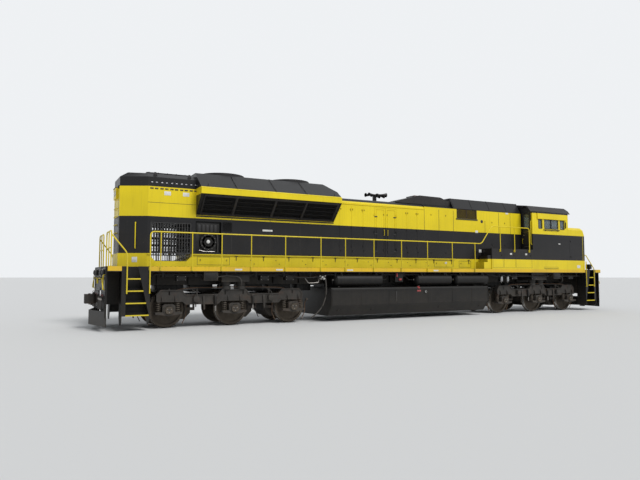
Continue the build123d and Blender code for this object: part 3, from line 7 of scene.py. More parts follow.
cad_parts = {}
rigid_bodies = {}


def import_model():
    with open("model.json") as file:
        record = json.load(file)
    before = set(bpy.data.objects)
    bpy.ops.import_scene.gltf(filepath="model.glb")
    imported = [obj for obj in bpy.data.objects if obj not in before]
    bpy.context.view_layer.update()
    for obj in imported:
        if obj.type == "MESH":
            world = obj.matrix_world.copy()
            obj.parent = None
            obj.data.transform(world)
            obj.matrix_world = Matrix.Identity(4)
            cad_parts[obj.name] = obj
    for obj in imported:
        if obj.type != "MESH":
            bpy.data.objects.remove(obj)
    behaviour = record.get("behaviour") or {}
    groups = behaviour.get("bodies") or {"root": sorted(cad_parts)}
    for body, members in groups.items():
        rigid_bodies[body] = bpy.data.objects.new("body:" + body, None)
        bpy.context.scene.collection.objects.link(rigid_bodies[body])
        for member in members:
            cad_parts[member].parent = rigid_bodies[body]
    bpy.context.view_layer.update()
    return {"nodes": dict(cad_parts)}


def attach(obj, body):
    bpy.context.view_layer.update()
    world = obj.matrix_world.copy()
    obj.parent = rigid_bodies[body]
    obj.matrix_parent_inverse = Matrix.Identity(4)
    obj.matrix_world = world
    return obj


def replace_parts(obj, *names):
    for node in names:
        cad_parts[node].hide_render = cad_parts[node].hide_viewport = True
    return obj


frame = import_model()
print("frame loaded")

sides = (-1, 1)
ends = (("Rear", -1), ("Front", 1))
across, up = (0, 1, 0), (0, 0, 1)
body = {  # stations, half widths and heights that several pieces share, in metres
    "half": 1.5, "deck": 1.865, "hoodHalf": 0.95, "ledgeHalf": 1.01, "hoodRear": -10.46,
    "radiatorRear": -8.23, "radiatorFront": -3.25, "engineFront": 0.86, "intakeFront": 2.36,
    "rearRoof": 4.795, "engineRoof": 4.428, "wingRoot": 3.5, "cabinetRoof": 4.77, "cabRoof": 4.74,
}
truck = {"centre": 7.0, "spacing": 2.07, "axle": 0.5615, "beam": 1.115}
axles = {endName: [end * truck["centre"] + place * truck["spacing"] for place in (-1, 0, 1)]
         for endName, end in ends}
finished = {piece.name for piece in bpy.data.objects}  # the frame, and the pieces as they are made


# Modelling: parts are left on the bench, those of one side as for the left, and gather makes a piece of them
def bench():
    return [part for part in bpy.context.scene.objects if part.name not in finished]


def deselectAll():
    bpy.ops.object.select_all(action="DESELECT")


def pick(piece):
    deselectAll()
    piece.select_set(True)
    bpy.context.view_layer.objects.active = piece
    return piece


def settle(piece):  # its place goes into the mesh
    pick(piece)
    bpy.ops.object.transform_apply(location=True, rotation=True, scale=True)
    return piece


def addModifier(piece, kind, **values):
    pick(piece)
    modifier = piece.modifiers.new(kind.title(), kind)
    for key, value in values.items():
        setattr(modifier, key, value)
    bpy.ops.object.modifier_apply(modifier=modifier.name)


def coat(piece, material):
    piece.data.materials.clear()
    piece.data.materials.append(material)


def finishPart(piece, paint, edge=0.0):  # rounds its edges and paints it
    if edge:
        addModifier(piece, "BEVEL", width=edge, segments=2)
    coat(piece, paints[paint])
    return piece


def newWire(points, closed=False):  # a mesh of edges through the points
    mesh = bpy.data.meshes.new("wire")
    edges = [(i, i + 1) for i in range(len(points) - 1)]
    if closed:
        edges.append((len(points) - 1, 0))
    mesh.from_pydata([Vector(p) for p in points], edges, [])
    piece = bpy.data.objects.new("wire", mesh)
    bpy.context.scene.collection.objects.link(piece)
    return pick(piece)


def editAll(*steps):  # runs edit mode operators on the active piece with all of it selected
    bpy.ops.object.mode_set(mode="EDIT")
    bpy.ops.mesh.select_all(action="SELECT")
    for operator, values in steps:
        operator(**values)
    bpy.ops.object.mode_set(mode="OBJECT")


facesOut = (bpy.ops.mesh.normals_make_consistent, {"inside": False})
profiles = {  # turned shapes, as (radius, height)
    "aerial": ((0, 0.08), (0.02, 0.078), (0.05, 0.05), (0.06, 0.012), (0.08, 0.01), (0.08, 0)),
    "bearingCap": ((0, 0.004), (0.03, 0.004), (0.034, 0), (0.034, -0.004)),
    "blowerMotor": ((0, 0.022), (0.03, 0.02), (0.055, 0.01), (0.06, 0)),
    "blowerScroll": ((0, 0.035), (0.09, 0.04), (0.1, 0.028), (0.14, 0.028), (0.15, 0), (0.2, 0),
                     (0.21, 0.02), (0.262, 0.02), (0.268, -0.02)),
    "boxCover": ((0.12, 0.004), (0.128, 0.012), (0.166, 0.012), (0.172, 0.004), (0.172, -0.002),
                 (0.12, -0.002), (0.12, 0.004)),
    "cockFlange": ((0, 0.012), (0.04, 0.012), (0.042, 0)),
    "cylinderCover": ((0, 0.018), (0.05, 0.018), (0.075, 0.008), (0.098, 0.008), (0.104, 0)),
    "ditchLens": ((0, 0.03), (0.04, 0.027), (0.07, 0.018), (0.078, 0.01), (0, 0.008)),
    "ditchReflector": ((0, -0.02), (0.04, -0.012), (0.07, 0.004), (0.082, 0.016), (0.09, 0.016), (0.092, 0)),
    "doorRose": ((0, 0.012), (0.03, 0.012), (0.034, 0)),
    "dryerBottle": ((0, 0), (0.04, 0.004), (0.06, 0.03), (0.06, 0.2), (0.045, 0.235), (0.02, 0.245),
                    (0, 0.25)),
    "fanHub": ((0, 0), (0.08, -0.002), (0.125, -0.012), (0.13, -0.02)),
    "fillerCap": ((0, 0.085), (0.05, 0.085), (0.06, 0.07), (0.06, 0.05), (0.045, 0.045), (0.045, 0)),
    "gaugeGlass": ((0, 0.008), (0.05, 0.006), (0, 0.006)),
    "gaugeRing": ((0.05, 0), (0.05, 0.02), (0.062, 0.02), (0.064, 0)),
    "grabFoot": ((0, 0.008), (0.034, 0.008), (0.036, 0)),
    "hornChamber": ((0, -0.05), (0.028, -0.045), (0.042, -0.03), (0.042, 0), (0.03, 0.012), (0.016, 0.02)),
    "hoseCock": ((0, 0), (0.024, 0.004), (0.026, 0.03), (0.024, 0.056), (0, 0.06)),
    "hoseCuff": ((0, 0), (0.026, 0), (0.028, 0.006), (0.026, 0.014), (0.028, 0.022), (0.026, 0.05),
                 (0.022, 0.054)),
    "inspectionCover": ((0, 0.02), (0.025, 0.02), (0.03, 0.012), (0.06, 0.012), (0.064, 0)),
    "latchDish": ((0, 0.003), (0.016, 0.003), (0.021, 0.009), (0.026, 0.009), (0.028, 0)),
    "lockLifter": ((0, 0.05), (0.02, 0.048), (0.03, 0.03), (0.034, 0)),
    "markerLens": ((0, 0.02), (0.03, 0.015), (0.042, 0)),
    "noseLens": ((0, 0.03), (0.05, 0.026), (0.085, 0.014), (0, 0.012)),
    "noseReflector": ((0, -0.005), (0.05, 0.003), (0.082, 0.014), (0.09, 0.02), (0.1, 0.02), (0.102, 0)),
    "pinHead": ((0, 0.028), (0.03, 0.026), (0.044, 0.014), (0.046, 0)),
    "rearLens": ((0, 0.05), (0.05, 0.046), (0.09, 0.036), (0.09, 0.03), (0, 0.03)),
    "rearReflector": ((0, 0.012), (0.04, 0.02), (0.088, 0.034), (0.094, 0.042), (0.1, 0.042), (0.1, 0.028)),
    "reservoirPlug": ((0, 0.016), (0.026, 0.016), (0.028, 0.01), (0.04, 0.01), (0.042, 0)),
    "roundCover": ((0, 0.01), (0.05, 0.008), (0.07, 0)),
    "socketLid": ((0, 0.03), (0.05, 0.026), (0.062, 0.012), (0.066, 0)),
    "valveStub": ((0, 0.08), (0.02, 0.078), (0.03, 0.06), (0.026, 0.04), (0.036, 0.03), (0.036, 0)),
}


def pointing(place, direction):  # turns +Z to the direction and moves to the place
    turn = Vector(direction).to_track_quat("Z", "Y").to_matrix().to_4x4()
    return Matrix.Translation(Vector(place)) @ turn


def block(low, high, paint, edge=0.0):
    bpy.ops.mesh.primitive_cube_add(size=1, location=[(a + b) / 2 for a, b in zip(low, high)])
    bpy.context.object.scale = [abs(b - a) for a, b in zip(low, high)]
    return finishPart(settle(bpy.context.object), paint, edge)


def rod(start, end, radius, paint, vertices=16, edge=0.0):
    run = Vector(end) - Vector(start)
    bpy.ops.mesh.primitive_cylinder_add(vertices=vertices, radius=radius, depth=run.length)
    bpy.context.object.matrix_world = pointing((Vector(start) + Vector(end)) / 2, run)
    finishPart(settle(bpy.context.object), paint, edge)


def bentTube(points, radius, bend, paint, resolution=2, segments=5, closed=False):  # its corners are rounded
    newWire(points, closed)
    if bend:
        editAll((bpy.ops.mesh.bevel, {"offset": bend, "segments": segments, "affect": "VERTICES"}))
    bpy.ops.object.convert(target="CURVE")
    curve = bpy.context.object.data
    curve.bevel_depth = radius
    curve.bevel_resolution = resolution
    curve.use_fill_caps = not closed
    bpy.ops.object.convert(target="MESH")
    finishPart(bpy.context.object, paint)


def gasket(low, high, radius, bend):  # a rubber bead round an upright opening
    (x1, y1, z1), (x2, y2, z2) = low, high
    corners = ((x1, y1, z1), (x2, y2, z1), (x2, y2, z2), (x1, y1, z2))
    bentTube(corners, radius, bend, "rubber", 1, 4, closed=True)


def grab(foot, head, reach, radius, bend, paint="rail", resolution=2):  # a handle on its two feet
    foot, head, reach = Vector(foot), Vector(head), Vector(reach)
    bentTube((foot, foot + reach, head + reach, head), radius, bend, paint, resolution)


def turned(shape, place, direction, paint, steps=32):  # a profile, or the name of one, spun round
    profile = profiles[shape] if isinstance(shape, str) else shape
    piece = newWire([(radius, 0, height) for radius, height in profile])
    addModifier(piece, "SCREW", steps=steps, render_steps=steps, use_merge_vertices=True)
    editAll((bpy.ops.mesh.remove_doubles, {"threshold": 0.0001}), facesOut)
    piece.matrix_world = pointing(place, direction)
    finishPart(settle(piece), paint)


def hoop(place, radius, wire, paint, steps, around, turn=0.0):
    bpy.ops.mesh.primitive_torus_add(major_radius=radius, minor_radius=wire, major_segments=steps,
                                     minor_segments=around, rotation=(turn, 0, 0), location=place)
    finishPart(settle(bpy.context.object), paint)


def coil(radius, wire, height, turns, paint, steps=14):  # an upright spring from z = 0
    bpy.ops.mesh.primitive_circle_add(vertices=8, radius=wire, location=(radius, 0, wire),
                                      rotation=(math.pi / 2, 0, 0), fill_type="NGON")
    piece = settle(bpy.context.object)
    addModifier(piece, "SCREW", angle=math.tau * turns, screw_offset=height - 2 * wire,
                steps=int(steps * turns), render_steps=int(steps * turns))
    editAll((bpy.ops.mesh.fill_holes, {"sides": 0}), facesOut)
    finishPart(piece, paint)


def plateOf(points, thickness, direction, paint, edge=0.0):  # a flat outline given a thickness
    piece = newWire(points, closed=True)
    depth = Vector(direction).normalized() * thickness
    editAll((bpy.ops.mesh.edge_face_add, {}),
            (bpy.ops.mesh.extrude_region_move, {"TRANSFORM_OT_translate": {"value": depth}}))
    editAll(facesOut)
    return finishPart(piece, paint, edge)


def crossPlate(x, outline, width, paint, edge=0.0, way=1):  # a plate of (y, z) points across the locomotive
    return plateOf([(x, y, z) for y, z in outline], width, (way, 0, 0), paint, edge)


def copyPart(part, matrix):  # a copy with its own mesh
    twin = part.copy()
    twin.data = part.data.copy()
    twin.data.transform(matrix)
    if matrix.determinant() < 0:
        twin.data.flip_normals()
    bpy.context.scene.collection.objects.link(twin)
    return twin


def repeat(source, places):  # a copy at each place, and the source goes
    for place in places:
        copyPart(source, place if isinstance(place, Matrix) else Matrix.Translation(Vector(place)))
    bpy.data.objects.remove(source)


def bolts(spots, direction, radius, paint):  # hexagon heads standing on the spots
    bpy.ops.mesh.primitive_cylinder_add(vertices=6, radius=radius, depth=radius, location=(0, 0, radius / 2))
    head = settle(bpy.context.object)
    addModifier(head, "BEVEL", width=radius * 0.12, segments=1)
    repeat(finishPart(head, paint), [pointing(spot, direction) for spot in spots])


def spaced(first, pitch, count):  # evenly spaced places, which the dicts give as (first, pitch, count)
    return [first + number * pitch for number in range(count)]


def aroundAxis(x, y, z, circle, count, turn=0.0):  # points on a circle in an upright lengthwise plane
    angles = [math.tau * (number / count) + turn for number in range(count)]
    return [(x + circle * math.cos(angle), y, z + circle * math.sin(angle)) for angle in angles]


def mirrored(parts):  # copies on the other side
    return [copyPart(part, Matrix.Scale(-1, 4, across)) for part in parts]


def bothSides():  # what is on the bench is copied to the right
    mirrored(bench())


def turnOver():  # what is on the bench goes to the right, and what is on both sides looks the same
    for part in bench():
        copyPart(part, Matrix.Scale(-1, 4, across))
        bpy.data.objects.remove(part)


def gather(name, carrier, angle=35, parts=None):  # one piece, riding on a body
    parts = parts or bench()
    deselectAll()
    for part in parts:
        part.select_set(True)
    bpy.context.view_layer.objects.active = parts[0]
    if len(parts) > 1:
        bpy.ops.object.join()
    piece = bpy.context.object
    piece.name = name
    finished.add(name)
    bpy.ops.object.shade_smooth_by_angle(angle=math.radians(angle))
    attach(piece, carrier)
    return piece


# Shader groups and materials
def addNode(tree, kind, inputs=None, **settings):
    made = tree.nodes.new("ShaderNode" + kind)
    for key, value in settings.items():
        setattr(made, key, value)
    for key, value in (inputs or {}).items():
        if isinstance(value, bpy.types.NodeSocket):
            tree.links.new(value, made.inputs[key])
        else:
            made.inputs[key].default_value = value
    return made


def maths(tree, operation, *values, clamp=False):
    return addNode(tree, "Math", dict(enumerate(values)), operation=operation, use_clamp=clamp).outputs[0]


def times(tree, first, second, clamp=False):
    return maths(tree, "MULTIPLY", first, second, clamp=clamp)


def remap(tree, value, low, high, first, second):
    inputs = {"Value": value, "From Min": low, "From Max": high, "To Min": first, "To Max": second}
    return addNode(tree, "MapRange", inputs).outputs[0]


def mixColour(tree, factor, first, second):
    return addNode(tree, "Mix", {0: factor, 6: first, 7: second}, data_type="RGBA").outputs[2]


def noise(tree, place, scale, detail, roughness=0.5):
    inputs = {"Vector": place, "Scale": scale, "Detail": detail, "Roughness": roughness}
    return addNode(tree, "TexNoise", inputs).outputs[0]


def parted(tree, vector):  # its X, Y and Z
    return addNode(tree, "SeparateXYZ", {0: vector}).outputs


def makeGroup(name, output, **inputs):  # place is a vector, the rest are values
    tree = bpy.data.node_groups.new(name, "ShaderNodeTree")
    for label, value in inputs.items():
        kind = "NodeSocketVector" if value is None else "NodeSocketFloat"
        socket = tree.interface.new_socket(name=label, in_out="INPUT", socket_type=kind)
        if value is not None:
            socket.default_value = value
    tree.interface.new_socket(name=output, in_out="OUTPUT", socket_type="NodeSocketFloat")
    source = tree.nodes.new("NodeGroupInput").outputs
    return tree, source, tree.nodes.new("NodeGroupOutput").inputs[0]


def makeRoadDust():  # thick low down, thin above, and patchy
    tree, source, result = makeGroup("roadDust", "Mask", Place=None, Low=0.2, High=2.0, Amount=0.5)
    place = source["Place"]
    fade = remap(tree, parted(tree, place)[2], source["Low"], source["High"], 1.0, 0.12)
    patchy = remap(tree, noise(tree, place, 1.7, 7.0, 0.6), 0.3, 0.7, 0.25, 1.2)
    speckled = remap(tree, noise(tree, place, 34.0, 3.0), 0.3, 0.7, 0.7, 1.2)
    amount = times(tree, fade, source["Amount"])
    tree.links.new(times(tree, amount, times(tree, patchy, speckled), clamp=True), result)
    return tree


def makeRainStreaks():  # narrow upright runs of dirt
    tree, source, result = makeGroup("rainStreaks", "Mask", Place=None, Amount=0.3)
    stretched = addNode(tree, "Mapping", {"Vector": source["Place"], "Scale": (11.0, 11.0, 0.55)}).outputs[0]
    mask = remap(tree, noise(tree, stretched, 1.6, 5.0), 0.5, 0.76, 0.0, 1.0)
    tree.links.new(times(tree, mask, source["Amount"], clamp=True), result)
    return tree


def makeChips():  # small spots where the paint has gone
    tree, source, result = makeGroup("chips", "Mask", Place=None, Amount=0.3)
    mask = remap(tree, noise(tree, source["Place"], 16.0, 8.0, 0.7), 0.66, 0.7, 0.0, 1.0)
    tree.links.new(times(tree, mask, source["Amount"], clamp=True), result)
    return tree


def makeSheetWaves():  # slack sheet metal and the skin of the paint, as a height
    tree, source, result = makeGroup("sheetWaves", "Height", Place=None, Waves=0.6, Grain=0.2)
    waves = times(tree, noise(tree, source["Place"], 1.3, 1.0), source["Waves"])
    grain = times(tree, noise(tree, source["Place"], 120.0, 2.0), source["Grain"])
    tree.links.new(maths(tree, "ADD", waves, grain), result)
    return tree


groups = {"dust": makeRoadDust(), "streaks": makeRainStreaks(), "chips": makeChips(),
          "waves": makeSheetWaves()}
colours = {
    "yellow": (0.76, 0.59, 0.012, 1), "sillYellow": (0.78, 0.50, 0.012, 1), "black": (0.007, 0.007, 0.008, 1),
    # chassis is black paint made darker still, as painted shade under the body
    "roof": (0.013, 0.013, 0.015, 1), "deck": (0.06, 0.058, 0.055, 1), "chassis": (0.0075, 0.0072, 0.007, 1),
    "dust": (0.17, 0.14, 0.105, 1), "soot": (0.02, 0.018, 0.015, 1), "rust": (0.12, 0.045, 0.018, 1),
    "casting": (0.026, 0.0245, 0.023, 1), "primer": (0.16, 0.13, 0.1, 1), "darkDisc": (0.042, 0.036, 0.03, 1),
    "paleDisc": (0.1, 0.083, 0.066, 1), "tread": (0.52, 0.5, 0.47, 1),
}
bandRange = 6.0  # the height that a band ramp covers


def useGroup(tree, name, **inputs):
    return addNode(tree, "Group", inputs, node_tree=groups[name]).outputs[0]


def startMaterial(name, **values):
    material = bpy.data.materials.new(name)
    material.use_nodes = True
    tree = material.node_tree
    shader = tree.nodes["Principled BSDF"]
    for key, value in values.items():
        shader.inputs[key].default_value = value
    coordinates = addNode(tree, "TexCoord").outputs
    return material, tree, shader, coordinates["Object"], coordinates["Normal"]


def finishMaterial(tree, shader, colour, roughness, height, distance):
    tree.links.new(colour, shader.inputs["Base Color"])
    tree.links.new(roughness, shader.inputs["Roughness"])
    bump = addNode(tree, "Bump", {"Height": height, "Distance": distance, "Strength": 0.6})
    tree.links.new(bump.outputs[0], shader.inputs["Normal"])


def mottle(tree, colour, value, low, high):  # lighter and darker with a noise
    brightness = remap(tree, value, 0.3, 0.7, low, high)
    return addNode(tree, "HueSaturation", {"Value": brightness, "Color": colour}).outputs[0]


def bandColour(tree, place, bands):  # one colour up to each height
    ramp = addNode(tree, "ValToRGB", {0: maths(tree, "DIVIDE", parted(tree, place)[2], bandRange)})
    ramp.color_ramp.interpolation = "CONSTANT"
    while len(ramp.color_ramp.elements) < len(bands):
        ramp.color_ramp.elements.new(0.5)
    for element, (low, colour) in zip(ramp.color_ramp.elements, bands):
        element.position = low / bandRange
        element.color = colours[colour]
    return ramp.outputs[0]


def boxMask(tree, place, low, high):  # 1 between the corners along and up, and beyond a half width
    along, across, up = parted(tree, place)
    mask = maths(tree, "GREATER_THAN", maths(tree, "ABSOLUTE", across), low[1])
    for value, first, last in ((along, low[0], high[0]), (up, low[2], high[2])):
        mask = times(tree, mask, maths(tree, "GREATER_THAN", value, first))
        mask = times(tree, mask, maths(tree, "LESS_THAN", value, last))
    return mask


def enamel(name, bands, under=None, top=None, recess=None, dust=0.09, streaks=0.1, rough=0.36):
    material, tree, shader, place, normal = startMaterial(name, **{"Specular IOR Level": 0.3})
    colour = bandColour(tree, place, bands)
    for facing, low, high in ((under, -0.25, -0.35), (top, 0.85, 0.95)):  # faces that look down or up
        if facing:
            mask = remap(tree, parted(tree, normal)[2], low, high, 0.0, 1.0)
            colour = mixColour(tree, mask, colour, colours[facing])
    if recess:
        colour = mixColour(tree, boxMask(tree, place, *recess), colour, colours["black"])
    colour = mottle(tree, colour, noise(tree, place, 0.8, 3.0), 0.9, 1.05)
    grime = useGroup(tree, "streaks", Place=place, Amount=streaks)
    colour = mixColour(tree, grime, colour, colours["soot"])
    colour = mixColour(tree, useGroup(tree, "chips", Place=place, Amount=0.45), colour, colours["primer"])
    dusty = useGroup(tree, "dust", Place=place, Low=1.7, High=3.2, Amount=dust)
    colour = mixColour(tree, dusty, colour, colours["dust"])
    roughness = maths(tree, "ADD", rough, times(tree, maths(tree, "ADD", dusty, grime), 0.5), clamp=True)
    height = useGroup(tree, "waves", Place=place, Waves=1.0, Grain=0.05)
    finishMaterial(tree, shader, colour, roughness, height, 0.012)
    return material


def workPaint(name, colour, dust, low, high, rough=0.55, metallic=0.0, rusty=0.0, grain=0.5):
    material, tree, shader, place = startMaterial(
        name, Metallic=metallic, **{"Specular IOR Level": 0.28})[:4]
    paint = mottle(tree, colours.get(colour, colour), noise(tree, place, 6.0, 8.0, 0.65), 0.65, 1.35)
    if rusty:
        spread = times(tree, remap(tree, noise(tree, place, 3.1, 9.0, 0.7), 0.5, 0.66, 0.0, 1.0), rusty)
        paint = mixColour(tree, spread, paint, colours["rust"])
    paint = mixColour(tree, useGroup(tree, "streaks", Place=place, Amount=0.4), paint, colours["soot"])
    dusty = useGroup(tree, "dust", Place=place, Low=low, High=high, Amount=dust)
    paint = mixColour(tree, dusty, paint, colours["dust"])
    roughness = maths(tree, "ADD", rough, times(tree, dusty, 0.35), clamp=True)
    height = useGroup(tree, "waves", Place=place, Waves=0.2, Grain=grain)
    finishMaterial(tree, shader, paint, roughness, height, 0.004)
    return material


def wheelSteel(name, axleX):  # dusty discs and a bright running surface
    material, tree, shader, place, normal = startMaterial(name, Metallic=0.75)
    centred = addNode(tree, "Mapping", {"Vector": place, "Location": (-axleX, 0, -truck["axle"])}).outputs[0]
    along, _, up = parted(tree, centred)
    radius = maths(tree, "SQRT", maths(tree, "ADD", times(tree, along, along), times(tree, up, up)))
    tread = times(tree, remap(tree, radius, 0.522, 0.526, 0.0, 1.0),
                  remap(tree, radius, 0.541, 0.545, 1.0, 0.0))
    sideways = maths(tree, "ABSOLUTE", parted(tree, normal)[1])
    tread = times(tree, tread, remap(tree, sideways, 0.3, 0.6, 1.0, 0.0))
    rings = noise(tree, centred, 5.0, 9.0, 0.7)
    patchy = remap(tree, rings, 0.35, 0.65, 0.0, 1.0)
    steel = mixColour(tree, patchy, colours["darkDisc"], colours["paleDisc"])
    dusty = useGroup(tree, "dust", Place=place, Low=0.0, High=1.6, Amount=0.42)
    steel = mixColour(tree, dusty, steel, colours["dust"])
    steel = mixColour(tree, tread, steel, colours["tread"])
    roughness = mixColour(tree, tread, (0.72, 0.72, 0.72, 1), (0.25, 0.25, 0.25, 1))
    finishMaterial(tree, shader, steel, roughness, rings, 0.002)
    return material


def plainFinish(name, colour, rough, metallic=0.0, dust=0.15):
    material, tree, shader, place = startMaterial(name, Metallic=metallic)[:4]
    mottled = noise(tree, place, 14.0, 5.0)
    paint = mottle(tree, colour, mottled, 0.85, 1.12)
    dusty = useGroup(tree, "dust", Place=place, Low=0.0, High=4.0, Amount=dust)
    paint = mixColour(tree, dusty, paint, colours["dust"])
    roughness = maths(tree, "ADD", rough, times(tree, dusty, 0.4), clamp=True)
    finishMaterial(tree, shader, paint, roughness, mottled, 0.001)
    return material


def clearFinish(name, through, bending, pattern, spread, shades, rough, depth):  # glass with smears or rings
    material, tree, shader, place = startMaterial(
        name, Metallic=0.0, **{"IOR": bending, "Transmission Weight": through})[:4]
    smears = noise(tree, place, *pattern)
    colour = mixColour(tree, remap(tree, smears, *spread, 0.0, 1.0), *shades)
    finishMaterial(tree, shader, colour, remap(tree, smears, *rough), smears, depth)
    return material


def radiatorCore():  # fine upright fins across the slope
    material, tree, shader, place = startMaterial("radiatorCore", Metallic=0.4)[:4]
    comb = maths(tree, "SINE", times(tree, parted(tree, place)[0], 900.0))
    shade = remap(tree, comb, -1.0, 1.0, 0.0, 1.0)
    colour = mixColour(tree, shade, (0.006, 0.006, 0.007, 1), (0.035, 0.034, 0.033, 1))
    finishMaterial(tree, shader, colour, remap(tree, shade, 0.0, 1.0, 0.8, 0.6), shade, 0.003)
    return material


hullBands = ((0.0, "yellow"), (2.27, "black"), (3.39, "yellow"), (4.31, "black"))
wingBands = ((0.0, "yellow"), (2.27, "black"), (3.39, "yellow"), (3.44, "black"), (3.49, "yellow"),
             (4.32, "black"))
sillBands = ((0.0, "chassis"), (1.716, "sillYellow"), (1.863, "deck"))
paints = {
    "hull": enamel("hullPaint", hullBands),
    "wing": enamel("wingPaint", wingBands, recess=((-8.3, 0.955, 3.5), (-3.2, 1.6, 4.115))),
    "sill": enamel("sillPaint", sillBands, top="deck", under="chassis", dust=0.22),
    "cabinet": enamel("cabinetPaint", hullBands, top="black", dust=0.15),
    "rail": enamel("railPaint", ((0.0, "yellow"),), dust=0.25, streaks=0.15, rough=0.4),
    "roof": workPaint("roofPaint", "roof", 0.15, 3.6, 5.4, rough=0.42, grain=0.3),
    # the chassis black, darkened as painted shade under the body
    "chassis": workPaint("chassisPaint", "chassis", 0.15, 0.1, 1.3, rough=0.45),
    "casting": workPaint("castingPaint", "casting", 0.28, 0.1, 1.4, rough=0.6, rusty=0.2, grain=1.0),
    "spring": workPaint("springSteel", (0.07, 0.06, 0.05, 1), 0.6, 0.3, 1.2, rough=0.5, metallic=0.5,
                        rusty=0.5),
    "rusty": workPaint("rustyPipe", (0.13, 0.07, 0.04, 1), 0.5, 0.2, 2.0, rough=0.7, metallic=0.3, rusty=0.9),
    "aluminium": plainFinish("dullAluminium", (0.36, 0.36, 0.37, 1), 0.42, metallic=0.85),
    "rubber": plainFinish("blackRubber", (0.02, 0.02, 0.02, 1), 0.62, dust=0.3),
    "white": plainFinish("blankWhite", (0.66, 0.66, 0.63, 1), 0.45, dust=0.25),
    "red": plainFinish("valveRed", (0.33, 0.03, 0.035, 1), 0.4, dust=0.25),
    "bright": plainFinish("wornSteel", (0.34, 0.32, 0.3, 1), 0.38, metallic=0.9, dust=0.3),
    "dark": plainFinish("darkSteel", (0.018, 0.018, 0.019, 1), 0.5, metallic=0.2),
    "brown": plainFinish("grilleBrown", (0.05, 0.03, 0.02, 1), 0.6, metallic=0.3),
    "trim": plainFinish("cabTrim", (0.13, 0.14, 0.145, 1), 0.65, dust=0.05),
    "vinyl": plainFinish("seatVinyl", (0.025, 0.03, 0.045, 1), 0.5, dust=0.05),
    "core": radiatorCore(),
    "lamp": clearFinish("lampGlass", 0.85, 1.5, (60.0, 2.0), (0.0, 1.0),
                        ((0.86, 0.87, 0.84, 1), (0.98, 0.98, 0.95, 1)), (0.3, 0.7, 0.05, 0.16), 0.002),
    "glass": clearFinish("cabGlass", 0.75, 1.45, (3.0, 6.0), (0.4, 0.7),
                         ((0.24, 0.3, 0.32, 1), (0.34, 0.4, 0.41, 1)), (0.35, 0.75, 0.03, 0.2), 0.001),
}
nodePaints = {  # the finish of each CAD node that stays; a * stands for rear and front
    "hull": "hood_base rear_hood engine_hood intake_hood cabinet_hood cab_base cab_sides cab_front_wall "
            "nose_shell nose_door engine_door_right_* engine_door_left_*",
    "wing": "radiator_section", "cabinet": "side_cabinets", "sill": "underframe", "glass": "cab_glass",
    "dark": "cab_rear_wall cab_door brake_grilles", "trim": "cab_interior", "aluminium": "cooling_fan_*",
    "roof": "cab_roof roof_fairing fan_guards radiator_intakes",
    "chassis": "fuel_tank air_reservoirs pilot_* steps_*",
    "casting": "truck_frame_* axle_boxes_* traction_motors_* coupler_* engine_block",
}
for paint, words in nodePaints.items():
    for word in words.split():
        for endName in {word.replace("*", "rear"), word.replace("*", "front")}:
            coat(frame["nodes"][endName], paints[paint])
for number, axleX in enumerate(axles["Rear"] + axles["Front"], 1):
    coat(frame["nodes"][f"wheelset_{number}"], wheelSteel(f"wheelSteel{number}", axleX))
print("materials on the frame")

# Handrails: tubes with rounded corners, posts, clamps and bolted pads
rails = {
    "radius": 0.019, "bend": 0.11, "line": 1.535, "postRadius": 0.016, "foot": 1.745, "top": 2.885,
    "rear": -9.709, "leftEnd": 2.3,
    "posts": (0.3, 1.23, 2.15, 3.12, 4.31, 5.63, 6.6, 7.79, 9.01, 10.23, 11.46, 12.65),
    "raisedFoot": 2.58, "raisedTop": 3.62, "raisedPosts": (4.36, 5.19), "slopeStart": 3.3, "slopeEnd": 3.88,
    "rightEnd": 6.08, "padHalf": 0.03, "padHeight": 0.1, "clampRadius": 0.024, "clampHalf": 0.032,
}


def railPad(x, foot):
    half, outer = rails["padHalf"], rails["line"] - 0.012
    block((x - half, body["half"], foot), (x + half, outer, foot + rails["padHeight"]), "rail", 0.003)
    spots = [(x + dx, outer, foot + dz) for dx in (-0.022, 0.022) for dz in (0.015, 0.085)]
    bolts(spots, across, 0.007, "rail")


def railPost(x, foot, top):
    line, clampLine, half = rails["line"], rails["line"] - 0.005, rails["clampHalf"]
    rod((x, line, foot), (x, line, top), rails["postRadius"], "rail", 12)
    rod((x - half, clampLine, top), (x + half, clampLine, top), rails["clampRadius"], "rail", 14, 0.006)
    railPad(x, foot)


def makeHandrails():
    rear, foot, top = rails["rear"], rails["foot"], rails["top"]
    raisedFoot, raisedTop = rails["raisedFoot"], rails["raisedTop"]
    level = [(rear + place, foot, top) for place in rails["posts"]]
    leftPosts = [post for post in level if post[0] < rails["leftEnd"]]
    rightPosts = [post for post in level if post[0] < rails["slopeStart"]]
    rightPosts += [(x, raisedFoot, raisedTop) for x in rails["raisedPosts"]]
    rightRoute = ((rear, foot), (rear, top), (rails["slopeStart"], top), (rails["slopeEnd"], raisedTop),
                  (rails["rightEnd"], raisedTop), (rails["rightEnd"], raisedFoot))
    leftRoute = ((rear, foot), (rear, top), (rails["leftEnd"], top), (rails["leftEnd"], foot))
    for sideName, route, posts in (("Right", rightRoute, rightPosts), ("Left", leftRoute, leftPosts)):
        bentTube([(x, rails["line"], z) for x, z in route], rails["radius"], rails["bend"], "rail")
        for post in posts:
            railPost(*post)
        for x, z in (route[0], route[-1]):
            railPad(x, z)
        if sideName == "Right":
            turnOver()
        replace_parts(gather("handrail" + sideName, "carbody"), "handrail_" + sideName.lower())


endRails = {"edge": -10.77, "corner": 1.44, "gap": 0.38, "knee": 2.24, "rung": 2.4, "low": 1.08,
            "outer": 10.34, "rearInner": -9.709, "frontInner": 9.789, "frontTop": 2.52, "frontStart": 9.788,
            "padRadius": 0.045}


